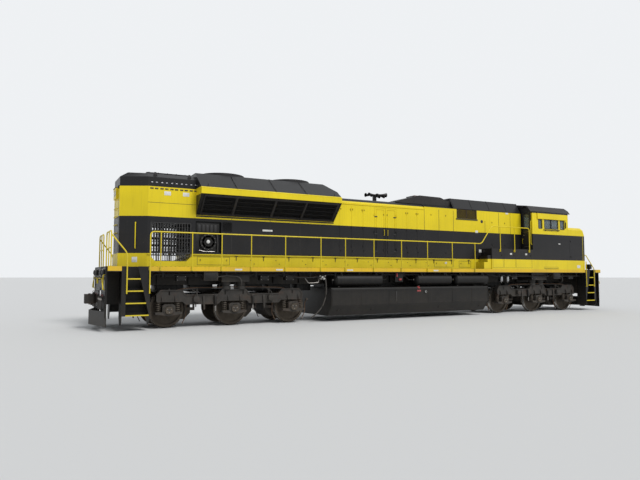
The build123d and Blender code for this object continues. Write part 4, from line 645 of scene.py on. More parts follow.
def makeEndRails():
    top, line, low, radius = rails["top"], rails["line"], endRails["low"], rails["radius"]
    bend, postRadius = rails["bend"], rails["postRadius"]
    knee, edge, gap, corner, rung = (endRails[key] for key in ("knee", "edge", "gap", "corner", "rung"))
    deck, middle = body["deck"], (gap + corner) / 2
    for endName, end in ends:
        outer = end * endRails["outer"]
        if end < 0:
            inner, innerTop = endRails["rearInner"], rails["foot"]
            route = ((edge, gap, deck), (edge, gap, top), (edge, corner, top), (edge, corner, deck))
            bentTube(route, radius, bend, "rail")
            rod((edge, middle, deck), (edge, middle, top), postRadius, "rail", 12)
            rod((edge, gap, rung), (edge, corner, rung), postRadius, "rail", 12)
            route = ((edge, corner, top - 0.1), (outer, line, knee), (outer, line, low))
            bentTube(route, radius, bend, "rail")
            for foot in (gap, middle, corner):
                rod((edge, foot, deck), (edge, foot, deck + 0.012), endRails["padRadius"], "rail", 16, 0.003)
        else:
            inner, innerTop = endRails["frontInner"], knee
            start = (endRails["frontStart"], line, endRails["frontTop"])
            bentTube((start, (outer, line, 1.9), (outer, line, low)), radius, 0.05, "rail")
            block((9.73, body["half"], 2.5), (9.788, line, 2.54), "rail", 0.003)
        rod((inner, line, low), (inner, line, innerTop), radius, "rail", 14)
        for x in (outer, inner):
            block((x - 0.01, body["half"], low), (x + 0.01, line, low + 0.04), "rail", 0.002)
        bothSides()
        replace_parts(gather("endRail" + endName, "carbody"), "end_rail_" + endName.lower())


makeHandrails()
makeEndRails()
print("rails ready")

# Trucks: real coils, bearing covers, brake gear, sand pipes and dampers
springs = {"meanRadius": 0.066, "wire": 0.0165, "low": 0.5015, "high": 0.8, "turns": 4.5, "offset": 0.29,
           "line": 1.02, "seatRadius": 0.088, "seat": 0.014, "coreRadius": 0.03}


def makeSprings():
    height, seat = springs["high"] - springs["low"], springs["seat"]
    for endName in axles:
        coil(springs["meanRadius"], springs["wire"], height, springs["turns"], "spring")
        rod((0, 0, 0), (0, 0, seat), springs["seatRadius"], "spring", 20)
        rod((0, 0, height - seat), (0, 0, height), springs["seatRadius"], "spring", 20)
        rod((0, 0, 0), (0, 0, height * 0.8), springs["coreRadius"], "dark", 12)
        places = [(x + near * springs["offset"], side * springs["line"], springs["low"])
                  for x in axles[endName] for near in sides for side in sides]
        for part in bench():
            repeat(part, places)
        node = endName.lower()
        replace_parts(gather("coilSprings" + endName, node + "_truck"), "coil_springs_" + node)


bearings = {"boxFace": 1.194, "coverBolts": 8, "boltCircle": 0.15, "capFace": 1.243, "capBolts": 3,
            "capCircle": 0.062}


def makeAxleEnds():
    face, z = bearings["capFace"], truck["axle"]
    for number, x in enumerate(axles["Rear"] + axles["Front"], 1):
        spots = aroundAxis(x, face - 0.004, z, bearings["capCircle"], bearings["capBolts"], 0.5)
        bolts(spots, across, 0.016, "bright")
        turned("bearingCap", (x, face, z), across, "dark", 20)
        bothSides()
        gather(f"axleEnds{number}", f"axle_{number}")


gear = {"cylinderFace": 1.22, "cylinderPlace": 1.24, "cylinderHeight": 0.8815, "sandLine": 0.76,
        "sandReach": 0.62, "damper": 0.62, "lever": 1.0, "clips": (-2.05, -1.2, -0.3, 0.3, 1.2, 2.05),
        "pipe": ((-2.3, 1.03), (-1.55, 1.18), (-0.5, 1.2), (0.5, 1.2), (1.55, 1.18), (2.3, 1.03))}  # x, z


def brakeCylinder(x):  # cover, bolts and hose on one cylinder
    y, z = gear["cylinderFace"], gear["cylinderHeight"]
    turned("cylinderCover", (x, y, z), across, "casting", 24)
    bolts(aroundAxis(x, y + 0.004, z, 0.088, 6), across, 0.009, "dark")
    hose = ((x, y + 0.01, z + 0.06), (x, y + 0.03, z + 0.2), (x - 0.12, 1.12, z + 0.28))
    bentTube(hose, 0.012, 0.05, "rubber")


def sandPipe(wheelX, way):  # from the beam down to the rail beside a wheel
    y, foot, top = gear["sandLine"], wheelX + way * 0.5, wheelX + way * gear["sandReach"]
    bentTube(((top, 0.9, 0.78), (top, y, 0.66), (top, y, 0.36), (foot, y, 0.11)), 0.014, 0.06, "rusty")
    block((top - 0.03, 0.93, 0.74), (top + 0.03, 0.86, 0.82), "casting", 0.006)


def makeTruckGear():
    face, z = bearings["boxFace"], truck["axle"]
    for endName, end in ends:
        centre = end * truck["centre"]
        for x in axles[endName]:
            turned("boxCover", (x, face, z), across, "casting")
            spots = aroundAxis(x, face + 0.01, z, bearings["boltCircle"], bearings["coverBolts"], 0.39)
            bolts(spots, across, 0.012, "dark")
            for near in sides:  # ribs between the box and the beam
                outline = ((truck["beam"], 0.8), (1.16, 0.8), (1.16, 0.9), (truck["beam"], 0.99))
                crossPlate(x + near * 0.19, outline, 0.022, "casting", 0.004, near)
        for near in sides:
            brakeCylinder(centre + near * gear["cylinderPlace"])
            x = centre + near * gear["damper"]
            rod((x, 1.15, 0.66), (x + near * 0.02, 1.15, 0.98), 0.036, "chassis", 18, 0.006)
            rod((x, 1.15, 0.5), (x, 1.15, 0.66), 0.02, "bright", 12)
            block((x - 0.05, 1.1, 0.93), (x + 0.06, 1.17, 1.0), "casting", 0.008)
            lever = centre + near * gear["lever"]
            outline = ((-0.03, 0.98), (0.03, 0.98), (0.05, 0.56), (0, 0.53))
            plateOf([(lever + dx, 1.13, high) for dx, high in outline], 0.02, across, "casting", 0.004)
            for way in sides:
                sandPipe(centre + near * truck["spacing"], way)
        run = [(centre + x, 1.08, high) for x, high in gear["pipe"]]
        bentTube(run, 0.016, 0.12, "chassis")
        bentTube([(x, y, high + 0.035) for x, y, high in run], 0.009, 0.12, "rusty")
        for x in gear["clips"]:
            block((centre + x - 0.02, 1.06, 1.0), (centre + x + 0.02, 1.1, 1.2), "casting", 0.004)
        bothSides()
        gather("truckGear" + endName, endName.lower() + "_truck")


makeSprings()
makeAxleEnds()
makeTruckGear()
print("trucks ready")

# Hoods: seams, latches, hinges, gussets, vents, lifting lugs and blank plates
hood = {"latchHigh": 4.02, "latchLow": 2.5, "seamPitch": 0.5, "gutter": 4.19, "seamWidth": 0.012,
        "seamLow": 2.272, "seams": ((1.6, 4.24), (4.1, 3.9), (4.9, 4.3), (5.59, 4.34)), "gussetTop": 2.234,
        "gussetDrop": 0.16, "rightGusset": 3.12, "roofBolts": (-9.62, 0.28, 5),
        "gussets": (-6.9, -5.95, -5.02, -4.1, -3.2, -2.28, -1.4, -0.5, 0.4, 1.28, 2.2),
        "slots": (-9.52, -9.22, -8.92, -8.62, -8.32), "labels": ((-9.12, 4.12), (-8.55, 4.12)),
        "chamfer": (-0.456, 0.89, 0)}  # seams as (place, top), labels as (place, height)


def seamStrip(x, y, low, high, paint="dark"):  # a raised lap joint on a flat side
    block((x - hood["seamWidth"] / 2, y, low), (x + hood["seamWidth"] / 2, y + 0.004, high), paint)


def latch(x, y, z):  # a paddle latch in a shallow round dish
    turned("latchDish", (x, y, z), across, "hull", 16)
    block((x - 0.006, y, z - 0.045), (x + 0.006, y + 0.016, z + 0.01), "dark", 0.002)


def makeHoodDoors():
    line, rear, front = body["hoodHalf"], body["radiatorFront"], body["engineFront"]
    x = rear + hood["seamPitch"] / 2
    while x < front:
        if abs(x + 1.0) > 0.55:  # not on the engine room doors
            for dx, z in ((-0.045, hood["latchHigh"]), (0.045, hood["latchHigh"]), (0.045, hood["latchLow"])):
                latch(x + dx, line, z)
            for z in (2.62, 3.3, 3.92):
                rod((x - 0.02, line + 0.006, z), (x - 0.02, line + 0.006, z + 0.09), 0.009, "hull", 8)
        x += hood["seamPitch"]
    gutter = hood["gutter"]
    block((rear + 0.02, line, gutter), (front - 0.02, line + 0.018, gutter + 0.014), "hull", 0.003)
    for seamX, high in ((front, 4.24), (body["intakeFront"], 4.24), *hood["seams"]):
        seamStrip(seamX, line, hood["seamLow"], high)
    for x, z in ((1.2, 4.02), (1.95, 4.02), (1.2, 2.5), (1.95, 2.5)):
        latch(x, line, z)
    bothSides()
    for x, z in ((4.5, 3.86), (5.25, 3.86), (4.5, 2.9), (5.25, 2.9)):  # only on the right
        latch(x, line, z)
    turnOver()
    gather("hoodDoors", "carbody")


def makeDoorFittings():  # handle, latches and hinges on each engine room door
    line = body["hoodHalf"]
    for sideName in ("right", "left"):
        for endName, centre, way in (("rear", -1.25, -1), ("front", -0.75, 1)):
            edge = centre - way * 0.17
            for z in (2.55, 3.9):
                latch(edge, line, z)
            grab((edge, line, 3.1), (edge, line, 3.32), (0, 0.045, 0), 0.008, 0.02)
            near, far = centre + way * 0.12, centre + way * 0.24
            for z in (2.5, 3.15, 3.8):
                block((near, line, z - 0.02), (far, line + 0.007, z + 0.02), "dark", 0.002)
            if sideName == "right":
                turnOver()
            door = f"{sideName}_{endName}_engine_door"
            gather(f"doorFittings.{sideName}.{endName}", door)


def gusset(x):
    top, drop = hood["gussetTop"], hood["gussetTop"] - hood["gussetDrop"]
    # the gusset and its pad are dark steel: partly the part's own colour, partly painted shade for its shadow
    # under the ledge
    crossPlate(x - 0.008, ((0.976, top), (1.008, top), (0.985, drop), (0.976, drop)), 0.016, "dark", 0.002)
    block((x - 0.05, 0.975, top - 0.02), (x + 0.05, 1.002, top), "dark", 0.002)


def makeLedge():  # the ledge's edge bar with the gussets that carry it
    line = body["ledgeHalf"]
    block((-8.34, line, 2.24), (2.35, line + 0.006, 2.272), "hull", 0.002)
    for x in hood["gussets"]:
        gusset(x)
    for x in (-6.4, -5.5, -4.5, -3.7, -2.8, -1.8, -0.9, 0.0, 0.9, 1.8):
        bolts([(x, 0.975, 2.1), (x + 0.12, 0.975, 1.98)], across, 0.014, "dark")
    bothSides()
    gusset(hood["rightGusset"])
    turnOver()
    gather("ledgeGussets", "carbody")


def makeRearHood():
    line, rear, roof = body["hoodHalf"], body["hoodRear"], body["rearRoof"]
    for x in [slot + dx for slot in hood["slots"] for dx in (-0.07, 0.07)]:  # vents along the roof's edge; the upper row's aluminium is a painted glint
        block((x - 0.05, line, 4.235), (x + 0.05, line + 0.014, 4.27), "dark", 0.004)
        block((x - 0.03, line, 4.42), (x + 0.03, line + 0.016, 4.45), "aluminium", 0.004)
    for x in (-9.0, -8.36):
        seamStrip(x, line, 3.4, 4.58, "hull")
    block((-9.7, line, 3.815), (-8.24, line + 0.004, 3.824), "dark")
    for x, z in hood["labels"]:
        block((x - 0.1, line, z - 0.06), (x + 0.1, line + 0.003, z + 0.06), "white", 0.001)
    for x in (-9.55, -8.5):  # lifting lugs on the roof's slope
        outline = ((0, 4.64), (0.14, 4.64), (0.1, 4.77), (0.04, 4.77))
        plateOf([(x + dx, 0.84, z) for dx, z in outline], 0.02, across, "roof", 0.004)
    normal = Vector(hood["chamfer"]).normalized()  # grab iron, plate and bolts on the corner
    low, high = Vector((-10.0, 0.76, 2.42)), Vector((-10.0, 0.76, 3.2))
    grab(low, high, normal * 0.06, 0.016, 0.02, resolution=3)
    for foot in (low, high):
        turned("grabFoot", foot, normal, "rail", 20)
    tag = block((-0.08, -0.08, 0), (0.08, 0.08, 0.004), "white", 0.001)
    repeat(tag, [pointing(Vector((-10.02, 0.775, 2.08)) + normal * 0.026, normal)])
    spots = [(-10.33 + t * 0.49, 0.627 + t * 0.251, 4.5) for t in (0.1, 0.35, 0.6, 0.85)]
    bolts(spots, normal, 0.014, "roof")
    backward, lamp, marker = (-1, 0, 0), (-10.49, 0.115, 4.13), (-10.5, 0.4, 4.3)
    turned("rearReflector", lamp, backward, "bright")
    turned("rearLens", lamp, backward, "lamp")
    rod((rear, *marker[1:]), marker, 0.05, "dark", 20, 0.006)
    turned("markerLens", marker, backward, "lamp", 20)
    block((-10.464, 0.396, 2.3), (rear, 0.404, 3.9), "dark")  # a seam of the rear sheet
    bolts([(x, 0.58, roof) for x in spaced(*hood["roofBolts"])], up, 0.016, "roof")
    bothSides()
    block((-10.545, -0.27, 4.3), (rear, 0.27, 4.315), "dark", 0.003)
    for z in (2.9, 3.15, 3.4, 3.65):
        grab((rear, -0.2, z), (rear, 0.2, z), (-0.06, 0, 0), 0.012, 0.03)
    for x in (-9.35, -8.85):
        grab((x, -0.2, roof), (x, 0.2, roof), (0, 0, 0.055), 0.012, 0.03, "roof")
    gather("rearHoodFittings", "carbody")


grids = {"banks": (-0.45, 0.0, 0.45), "rows": (2.33, 0.225, 4), "plates": (-9.5, 0.092, 12),
         "paintedHighlightPlates": 3, "bars": (-9.42, 0.058, 16)}


def makeBrakeGrids():  # stacked resistor banks behind the bars, with their insulators
    levels = spaced(*grids["rows"])
    for low in levels:
        block((-9.57, 0.885, low + 0.07), (-8.4, 0.9, low + 0.088), "dark")
    bothSides()
    for y in grids["banks"]:
        for low in levels:
            block((-9.56, y - 0.13, low), (-8.41, y + 0.13, low + 0.012), "dark")
            # the first plates of each row are bright steel as a painted highlight, the rest dark steel
            for number, x in enumerate(spaced(*grids["plates"])):
                block((x - 0.005, y - 0.11, low + 0.03), (x + 0.005, y + 0.11, low + 0.185),
                      "bright" if number < grids["paintedHighlightPlates"] else "dark")
    gather("brakeGrids", "carbody")


wing = {"edges": (0.11, 1.17, 2.52, 3.64, 4.87), "border": 0.095, "bar": 0.07, "finPitch": 0.033,
        "lining": 0.012, "slope": (0, 0.6, 0.62), "depth": -0.06, "louvres": (3.02, 0.034, 9),
        "fanPlaces": (-7.115, -4.625), "hoops": (0.24, 0.36, 0.48, 0.6), "guardCircle": 0.742,
        "guardBolts": 16}


def makeRadiatorCores():  # a dark core with upright fins and a lining in each bay
    slope, lining, depth = Vector(wing["slope"]), wing["lining"], wing["depth"]
    height = slope.length - 2 * wing["border"]
    for rear, front in zip(wing["edges"], wing["edges"][1:]):  # flat, with y up the slope and z out of it
        length = front - rear - wing["bar"]
        start = body["radiatorRear"] + rear + wing["bar"] / 2
        end = start + length
        block((start, 0, depth), (end, height, -0.045), "core")
        for x1, y1, x2, y2 in ((start, 0, start + lining, height), (end - lining, 0, end, height),
                               (start, 0, end, lining), (start, height - lining, end, height)):
            block((x1, y1, depth), (x2, y2, 0), "dark")
        for y in (height / 4, height / 2, height * 3 / 4):
            block((start, y - 0.006, -0.02), (end, y + 0.006, -0.008), "dark")
        fin = block((start + 0.02, lining, -0.045), (start + 0.024, height - lining, -0.012), "dark")
        repeat(fin, [(x, 0, 0) for x in spaced(0, wing["finPitch"], int(length / wing["finPitch"]))])
        along = [start - 0.035 + (number + 0.5) * (length + 0.07) / 5 for number in range(5)]
        bolts([(x, y, 0.028) for x in along for y in (-0.035, height + 0.035)], up, 0.01, "dark")
    upward = slope.normalized()
    turn = Matrix(((1, 0, 0), upward, (0, upward.z, -upward.y))).transposed().to_4x4()
    root = Vector((0, body["hoodHalf"], body["wingRoot"]))
    place = Matrix.Translation(root + upward * wing["border"]) @ turn
    left = bench()
    for part in left:
        part.data.transform(place)
    gather("radiatorCoresRight", "carbody", 20, mirrored(left))
    gather("radiatorCoresLeft", "carbody", 20)


def makeWings():  # edge strip, roof seams, bolts and louvres of the radiator section
    line, rear, front = body["hoodHalf"], body["radiatorRear"], body["radiatorFront"]
    block((rear, 1.545, 4.29), (front, 1.553, 4.31), "hull", 0.002)
    for edge in wing["edges"][1:4]:
        x = rear + edge
        crossPlate(x - 0.006, ((1.53, 4.33), (0.82, 4.86), (0.82, 4.875), (1.53, 4.345)), 0.012, "roof")
        bolts([(x, 0.951, z) for z in (2.5, 2.9, 3.3)], across, 0.012, "dark")
        seamStrip(x, line, hood["seamLow"], 3.49)
    for x in (-8.0, -3.5):
        rod((x, 1.46, 4.37), (x, 1.46, 4.44), 0.012, "roof", 10)
    block((-5.98, line, 3.07), (-5.62, 0.953, 3.13), "white", 0.001)
    for z in spaced(*wing["louvres"]):
        crossPlate(-7.36, ((line, z), (line, z + 0.024), (0.972, z)), 0.32, "hull")
    bothSides()
    gather("wingFittings", "carbody")


def makeFanGuards():  # concentric hoops and a domed hub over each fan
    circle, count = wing["guardCircle"], wing["guardBolts"]
    angles = [math.tau * n / count for n in range(count)]
    for x in wing["fanPlaces"]:
        for radius in wing["hoops"]:
            hoop((x, 0, 4.95), radius, 0.008, "roof", 64, 6)
        turned("fanHub", (x, 0, 4.96), up, "roof")
        spots = [(x + circle * math.cos(a), circle * math.sin(a), 4.945) for a in angles]
        bolts(spots, up, 0.012, "roof")
    gather("fanHoops", "carbody")


blower = {"x": -7.815, "z": 2.66, "wall": 0.83, "discCircle": 0.236, "discBolts": 12,
          "vaneCircles": (0.15, 0.21), "vanes": 6, "slots": (-8.14, 0.13, 5)}


def makeBlower():  # scroll, motor and cooling disc of the blower in its bay on the right
    x, z, wall = blower["x"], blower["z"], blower["wall"]
    turned("blowerScroll", (x, wall + 0.09, z), across, "chassis", 48)
    turned("blowerMotor", (x - 0.01, wall + 0.122, z + 0.01), across, "white", 24)
    block((-8.2, 0.835, 2.93), (-7.45, 0.9, 3.26), "chassis", 0.01)
    block((-8.22, wall, 2.34), (-8.1, 0.9, 2.93), "chassis", 0.01)
    spots = aroundAxis(x, wall + 0.108, z, blower["discCircle"], blower["discBolts"])
    bolts(spots, across, 0.011, "bright")
    inner, outer = (aroundAxis(x, wall + 0.094, z, circle, blower["vanes"])
                    for circle in blower["vaneCircles"])
    for start, end in zip(inner, outer):
        rod(start, end, 0.006, "dark", 6)
    for slotX in spaced(*blower["slots"]):
        block((slotX, 0.9, 2.98), (slotX + 0.08, 0.912, 3.21), "dark", 0.003)
    bentTube(((-7.5, 0.86, 2.33), (-7.5, 0.9, 2.6), (-7.52, 0.88, 2.95)), 0.022, 0.05, "rubber")
    bentTube(((-8.1, 0.88, 2.4), (-7.95, 0.9, 2.36), (-7.6, 0.9, 2.36)), 0.014, 0.03, "bright")
    turnOver()
    gather("blower", "carbody")


makeHoodDoors()
makeDoorFittings()
makeLedge()
makeRearHood()
makeBrakeGrids()
makeRadiatorCores()
makeWings()
makeFanGuards()
makeBlower()
print("hoods ready")

# Ends: levers, hoses, sockets, step edges, plough bolts, ditch lights and coupler fittings
pilot = {"face": 10.89, "leverOut": 0.07, "leverHigh": 1.52, "leverLow": 1.31, "ploughBolts": (0.42, 0.11, 9)}


def makeLevers():
    high, low = pilot["leverHigh"], pilot["leverLow"]
    for endName, end in ends:
        face, x = end * pilot["face"], end * (pilot["face"] + pilot["leverOut"])
        route = ((0.1, high - 0.16), (0.1, high), (0.98, high), (1.36, low), (1.36, low - 0.1))
        bentTube([(x, y, z) for y, z in route], 0.017, 0.05, "rail", 3)
        for y in (0.3, 0.92):
            block((face, y - 0.012, high - 0.04), (x + end * 0.03, y + 0.012, high + 0.04), "dark", 0.004)
            block((face, y - 0.05, high - 0.06), (face + end * 0.01, y + 0.05, high + 0.06), "dark", 0.003)
        bothSides()
        gather("uncouplingLever" + endName, "carbody", 50)


hoses = {"out": 0.08, "top": 1.01, "bend": 0.735, "half": 0.095, "places": (0.48, 0.73, 0.98),
         "radius": 0.022, "pieces": 16}


def makeHoses():  # brake and control hoses hooked up to their dummy couplings
    half, top, cuffZ, cockZ = hoses["half"], hoses["top"], hoses["top"] - 0.06, hoses["top"] - 0.025
    turns = [math.pi * n / hoses["pieces"] for n in range(hoses["pieces"] + 1)]
    for endName, end in ends:
        face = end * pilot["face"]
        x, lever = face + end * hoses["out"], face + end * 0.03
        for near in hoses["places"]:
            far = near + 2 * half
            arc = [(x, near + half - half * math.cos(a), hoses["bend"] - half * math.sin(a)) for a in turns]
            bentTube([(x, near, cuffZ), *arc, (x, far, cuffZ)], hoses["radius"], 0, "rubber", 3)
            for y in (near, far):
                turned("hoseCuff", (x, y, cuffZ), (0, 0, -1), "bright", 16)
                rod((face, y, cockZ), (x, y, cockZ), 0.02, "casting", 14)
                turned("hoseCock", (x, y, cuffZ), up, "casting", 16)
                turned("cockFlange", (face, y, cockZ), (end, 0, 0), "casting", 16)
            handle = ((lever, near, top - 0.02), (lever, near, top + 0.03), (lever, near - 0.07, top + 0.045))
            bentTube(handle, 0.006, 0.015, "red")
        bothSides()
        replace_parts(gather("airHoses" + endName, "carbody"), "air_hoses_" + endName.lower())


def makePilotFittings():
    for endName, end in ends:
        face = end * pilot["face"]
        out = (end, 0, 0)
        for y in (0.62, 1.14):  # control sockets with their round lids
            block((face, y - 0.09, 1.6), (face + end * 0.06, y + 0.09, 1.78), "chassis", 0.012)
            turned("socketLid", (face + end * 0.06, y, 1.69), out, "dark", 24)
            block((face + end * 0.06, y - 0.03, 1.75), (face + end * 0.075, y + 0.03, 1.775), "bright", 0.003)
        bolts([(face, y, z) for y in (0.45, 0.8, 1.3) for z in (1.12, 1.84)], out, 0.015, "dark")
        bolts([(face, y, 0.62) for y in spaced(*pilot["ploughBolts"])], out, 0.015, "dark")
        block((face, 0.36, 1.18), (face + end * 0.012, 1.36, 1.2), "chassis", 0.003)
        block((face, 1.33, 0.4), (face + end * 0.014, 1.37, 1.86), "chassis", 0.004)
        grab((face, 1.24, 1.62), (face, 1.24, 1.2), (end * 0.055, 0, 0), 0.013, 0.03, resolution=3)
        bothSides()
        block((face, -0.3, 1.16), (face + end * 0.02, 0.3, 1.24), "chassis", 0.005)
        block((face, -0.5, 1.8), (face + end * 0.02, 0.5, 1.86), "chassis", 0.005)
        gather("pilotFittings" + endName, "carbody")


steps = {"tops": (1.516, 1.167, 0.818, 0.469), "toe": 0.439, "outerPanel": 0.12, "innerTop": 0.35,
         "plate": 0.02, "outer": 10.48, "innerRear": 9.69, "innerFront": 9.77, "grips": 16}


def makeStepEdges():  # yellow nosings and raised grips on every tread
    for endName, end in ends:
        inner, far = steps["inner" + endName], end * (steps["outer"] - steps["outerPanel"])
        pitch = (steps["outer"] - inner - 0.1) / (steps["grips"] - 1)
        for top in steps["tops"]:
            share = (top - steps["toe"]) / (body["deck"] - steps["toe"])
            near = end * (inner + steps["plate"] + (steps["innerTop"] - steps["plate"]) * share)
            block((near, 1.498, top - 0.032), (far, 1.512, top + 0.006), "rail", 0.003)
            grip = block((-0.006, 1.25, top), (0.006, 1.485, top + 0.008), "chassis")
            repeat(grip, [(end * x, 0, 0) for x in spaced(inner + 0.05, pitch, steps["grips"])])
        bothSides()
        gather("stepEdges" + endName, "carbody")


coupler = {"face": 11.315, "top": 1.044, "bottom": 0.764, "pin": (0.13, 0.115), "lifter": (0.25, 0.0)}


def makeCouplerFittings():  # pin, lock lifter, ring and wear faces
    top, bottom, pin, lifter = (coupler[key] for key in ("top", "bottom", "pin", "lifter"))
    for endName, end in ends:

        def spot(back, sideways, z):  # back from the face, and the rear coupler is turned half round
            return end * (coupler["face"] - back), end * sideways, z

        rod(spot(*pin, bottom - 0.03), spot(*pin, top + 0.02), 0.024, "bright", 20, 0.004)
        turned("pinHead", spot(*pin, top), up, "casting", 24)
        turned("lockLifter", spot(*lifter, top + 0.01), up, "casting", 20)
        block(spot(0.31, -0.1, bottom + 0.02), spot(0.36, 0.1, top - 0.02), "casting", 0.02)
        block(spot(0.2, -0.06, top - 0.01), spot(0.3, 0.05, top + 0.018), "casting", 0.01)
        block(spot(0.17, -0.03, bottom - 0.05), spot(0.23, 0.03, bottom), "casting", 0.008)
        block(spot(0.045, 0.138, bottom + 0.03), spot(0.05, 0.16, top - 0.03), "dark")
        for z in (bottom + 0.07, top - 0.07):
            block(spot(0.29, -0.172, z - 0.012), spot(0.06, -0.196, z + 0.012), "casting", 0.005)
        hoop(spot(*lifter, top + 0.075), 0.026, 0.008, "bright", 24, 8, math.pi / 2)
        gather("couplerFittings" + endName, endName.lower() + "_coupler")


ditch = {"x": 10.6, "y": 1.02, "depth": 0.17, "half": 0.11, "low": 1.9, "high": 2.13}


def makeDitchLights():
    x, y, low, high = (ditch[key] for key in ("x", "y", "low", "high"))
    lamp = (x + ditch["depth"], y, (low + high) / 2)
    block((x, y - ditch["half"], low), (x + ditch["depth"], y + ditch["half"], high), "chassis", 0.02)
    block((x + 0.05, y - 0.04, body["deck"]), (x + 0.12, y + 0.04, low), "chassis", 0.006)
    turned("ditchReflector", lamp, (1, 0, 0), "bright")
    turned("ditchLens", lamp, (1, 0, 0), "lamp")
    bothSides()
    gather("ditchLights", "carbody")


makeLevers()
makeHoses()
makePilotFittings()
makeStepEdges()
makeCouplerFittings()
makeDitchLights()
print("ends ready")

# Cab and nose: gaskets, wipers, armrests, lamps, handles, seats, and the panels beside the cab
cab = {"rear": 6.33, "front": 8.65, "windows": ((6.71, 6.95), (7.09, 7.99), (8.12, 8.4)), "windowLow": 3.65,
       "windowHigh": 4.05, "shieldInner": 0.15, "shieldOuter": 1.25, "shieldLow": 3.85, "shieldHigh": 4.44,
       "gasket": 0.012, "gasketBend": 0.035, "nose": 9.75, "noseBevel": 3.42, "noseTop": 3.77,
       "bevelLength": 0.15, "noseLamp": (9.79, 0.12, 3.58), "boardLine": 0.62}


def outlineStrip(x1, x2, z1, z2, y, width=0.008):  # the gap round a drawer or a lid
    for xa, za, xb, zb in ((x1, z1, x2, z1 + width), (x1, z2 - width, x2, z2), (x1, z1, x1 + width, z2),
                           (x2 - width, z1, x2, z2)):
        block((xa, y, za), (xb, y + 0.003, zb), "dark")


def makeCabTrim():
    y, rear, front, nose = body["half"], cab["rear"], cab["front"], cab["nose"]
    low, high = cab["windowLow"], cab["windowHigh"]
    for start, end in cab["windows"]:
        gasket((start, y, low), (end, y, high), cab["gasket"], cab["gasketBend"])
    middle = sum(cab["windows"][1]) / 2
    block((middle - 0.018, 1.465, low), (middle + 0.018, 1.503, high), "dark", 0.003)
    block((7.02, y, 3.585), (8.06, 1.54, 3.615), "rubber", 0.01)  # armrest
    for x in (7.15, 7.54, 7.93):
        crossPlate(x, ((y, 3.585), (1.53, 3.585), (y, 3.54)), 0.014, "dark")
    block((rear + 0.02, y, 4.374), (front, 1.514, 4.39), "roof", 0.003)
    crossPlate(8.45, ((y, 3.7), (1.55, 3.72), (1.55, 3.98), (y, 4.0)), 0.012, "dark", 0.002)  # wind deflector
    for x in (6.9, 7.6, 8.3):  # sunshade hinges
        rod((x - 0.05, 1.54, 4.355), (x + 0.05, 1.54, 4.355), 0.008, "dark", 8)
    block((9.622, y, 1.872), (9.64, 1.503, 3.38), "rail", 0.001)
    block((9.2, y, 1.93), (9.42, 1.503, 2.06), "white", 0.001)
    block((7.98, y, 2.98), (8.1, 1.503, 3.02), "white", 0.001)
    outlineStrip(7.0, 7.92, 1.9, 1.97, y)
    outlineStrip(8.72, 9.5, 2.3, 3.3, y, 0.005)
    for z in (2.45, 3.15):
        latch(8.8, y, z)
    shield = (front, cab["shieldInner"], cab["shieldLow"]), (front, cab["shieldOuter"], cab["shieldHigh"])
    gasket(*shield, 0.014, 0.05)
    pivot = (front + 0.02, 0.7, 3.805)  # wiper
    rod((front, 0.7, 3.805), (front + 0.032, 0.7, 3.805), 0.022, "dark", 16, 0.003)
    rod(pivot, (front + 0.032, 0.46, 4.18), 0.007, "dark", 8)
    block((front + 0.018, 0.452, 3.95), (front + 0.036, 0.468, 4.41), "rubber", 0.003)
    grab((rear, 1.455, 2.95), (rear, 1.455, 3.95), (-0.06, 0, 0), 0.014, 0.03, resolution=3)
    grab((nose, 1.1, 2.1), (nose, 1.1, 3.2), (0.06, 0, 0), 0.014, 0.03, resolution=3)
    bothSides()
    gather("cabTrim", "carbody", 45)


def makeNoseLamps():
    low, top, run, lamp = cab["noseBevel"], cab["noseTop"], cab["bevelLength"], cab["noseLamp"]
    turned("noseReflector", lamp, (1, 0, 0), "bright")
    turned("noseLens", lamp, (1, 0, 0), "lamp")
    board = Matrix.Translation((cab["nose"] - run / 2, cab["boardLine"], (low + top) / 2))
    board = board @ Matrix.Rotation(math.atan2(top - low, run), 4, "Y")  # blank number boards on the bevel
    repeat(block((-0.12, -0.24, 0), (0.12, 0.24, 0.02), "dark", 0.006), [board])
    repeat(block((-0.1, -0.22, 0.02), (0.1, 0.22, 0.026), "white", 0.002), [board])
    bolts([(x, 1.3, top - 0.004) for x in (8.75, 9.1, 9.45)], up, 0.014, "hull")
    bothSides()
    block((9.6, -0.25, 3.47), (9.79, 0.25, 3.69), "hull", 0.025)
    grab((9.2, -0.5, top), (9.2, 0.5, top), (0, 0, 0.05), 0.013, 0.03, resolution=3)
    gather("noseLamps", "carbody")


def makeDoorHandles():
    rear, nose = cab["rear"], cab["nose"]
    turned("doorRose", (rear, -1.01, 3.35), (-1, 0, 0), "bright", 18)
    bentTube(((rear, -1.01, 3.35), (6.285, -1.01, 3.35), (6.285, -1.12, 3.34)), 0.009, 0.015, "bright")
    grab((rear, -0.995, 3.0), (rear, -0.995, 3.2), (-0.05, 0, 0), 0.008, 0.02)
    gasket((rear, -1.328, 3.656), (rear, -1.041, 4.266), 0.009, 0.04)
    block((6.346, -1.34, 3.645), (6.354, -1.03, 4.277), "glass")
    for z in (2.85, 3.5):
        block((6.326, -1.34, z - 0.006), (rear, -1.03, z + 0.006), "bright")
    gather("cabDoorFittings", "rear_cab_door")
    turned("doorRose", (nose, 0.22, 2.6), (1, 0, 0), "bright", 18)
    bentTube(((nose, 0.22, 2.6), (9.8, 0.22, 2.6), (9.8, 0.36, 2.59)), 0.01, 0.015, "bright")
    grab((nose, 0.23, 2.75), (nose, 0.23, 3.0), (0.06, 0, 0), 0.01, 0.02)
    for z in (1.95, 3.22):
        block((nose, 0.22, z), (9.754, 0.74, z + 0.012), "dark")
    gather("noseDoorFittings", "front_nose_door")


seats = {"seatPad": ((7.36, 0.71, 3.225), (7.76, 1.19, 3.32)), "arms": (0.7, 1.2),
         "backPad": ((7.35, 0.72, 3.3), (7.45, 1.18, 3.88))}


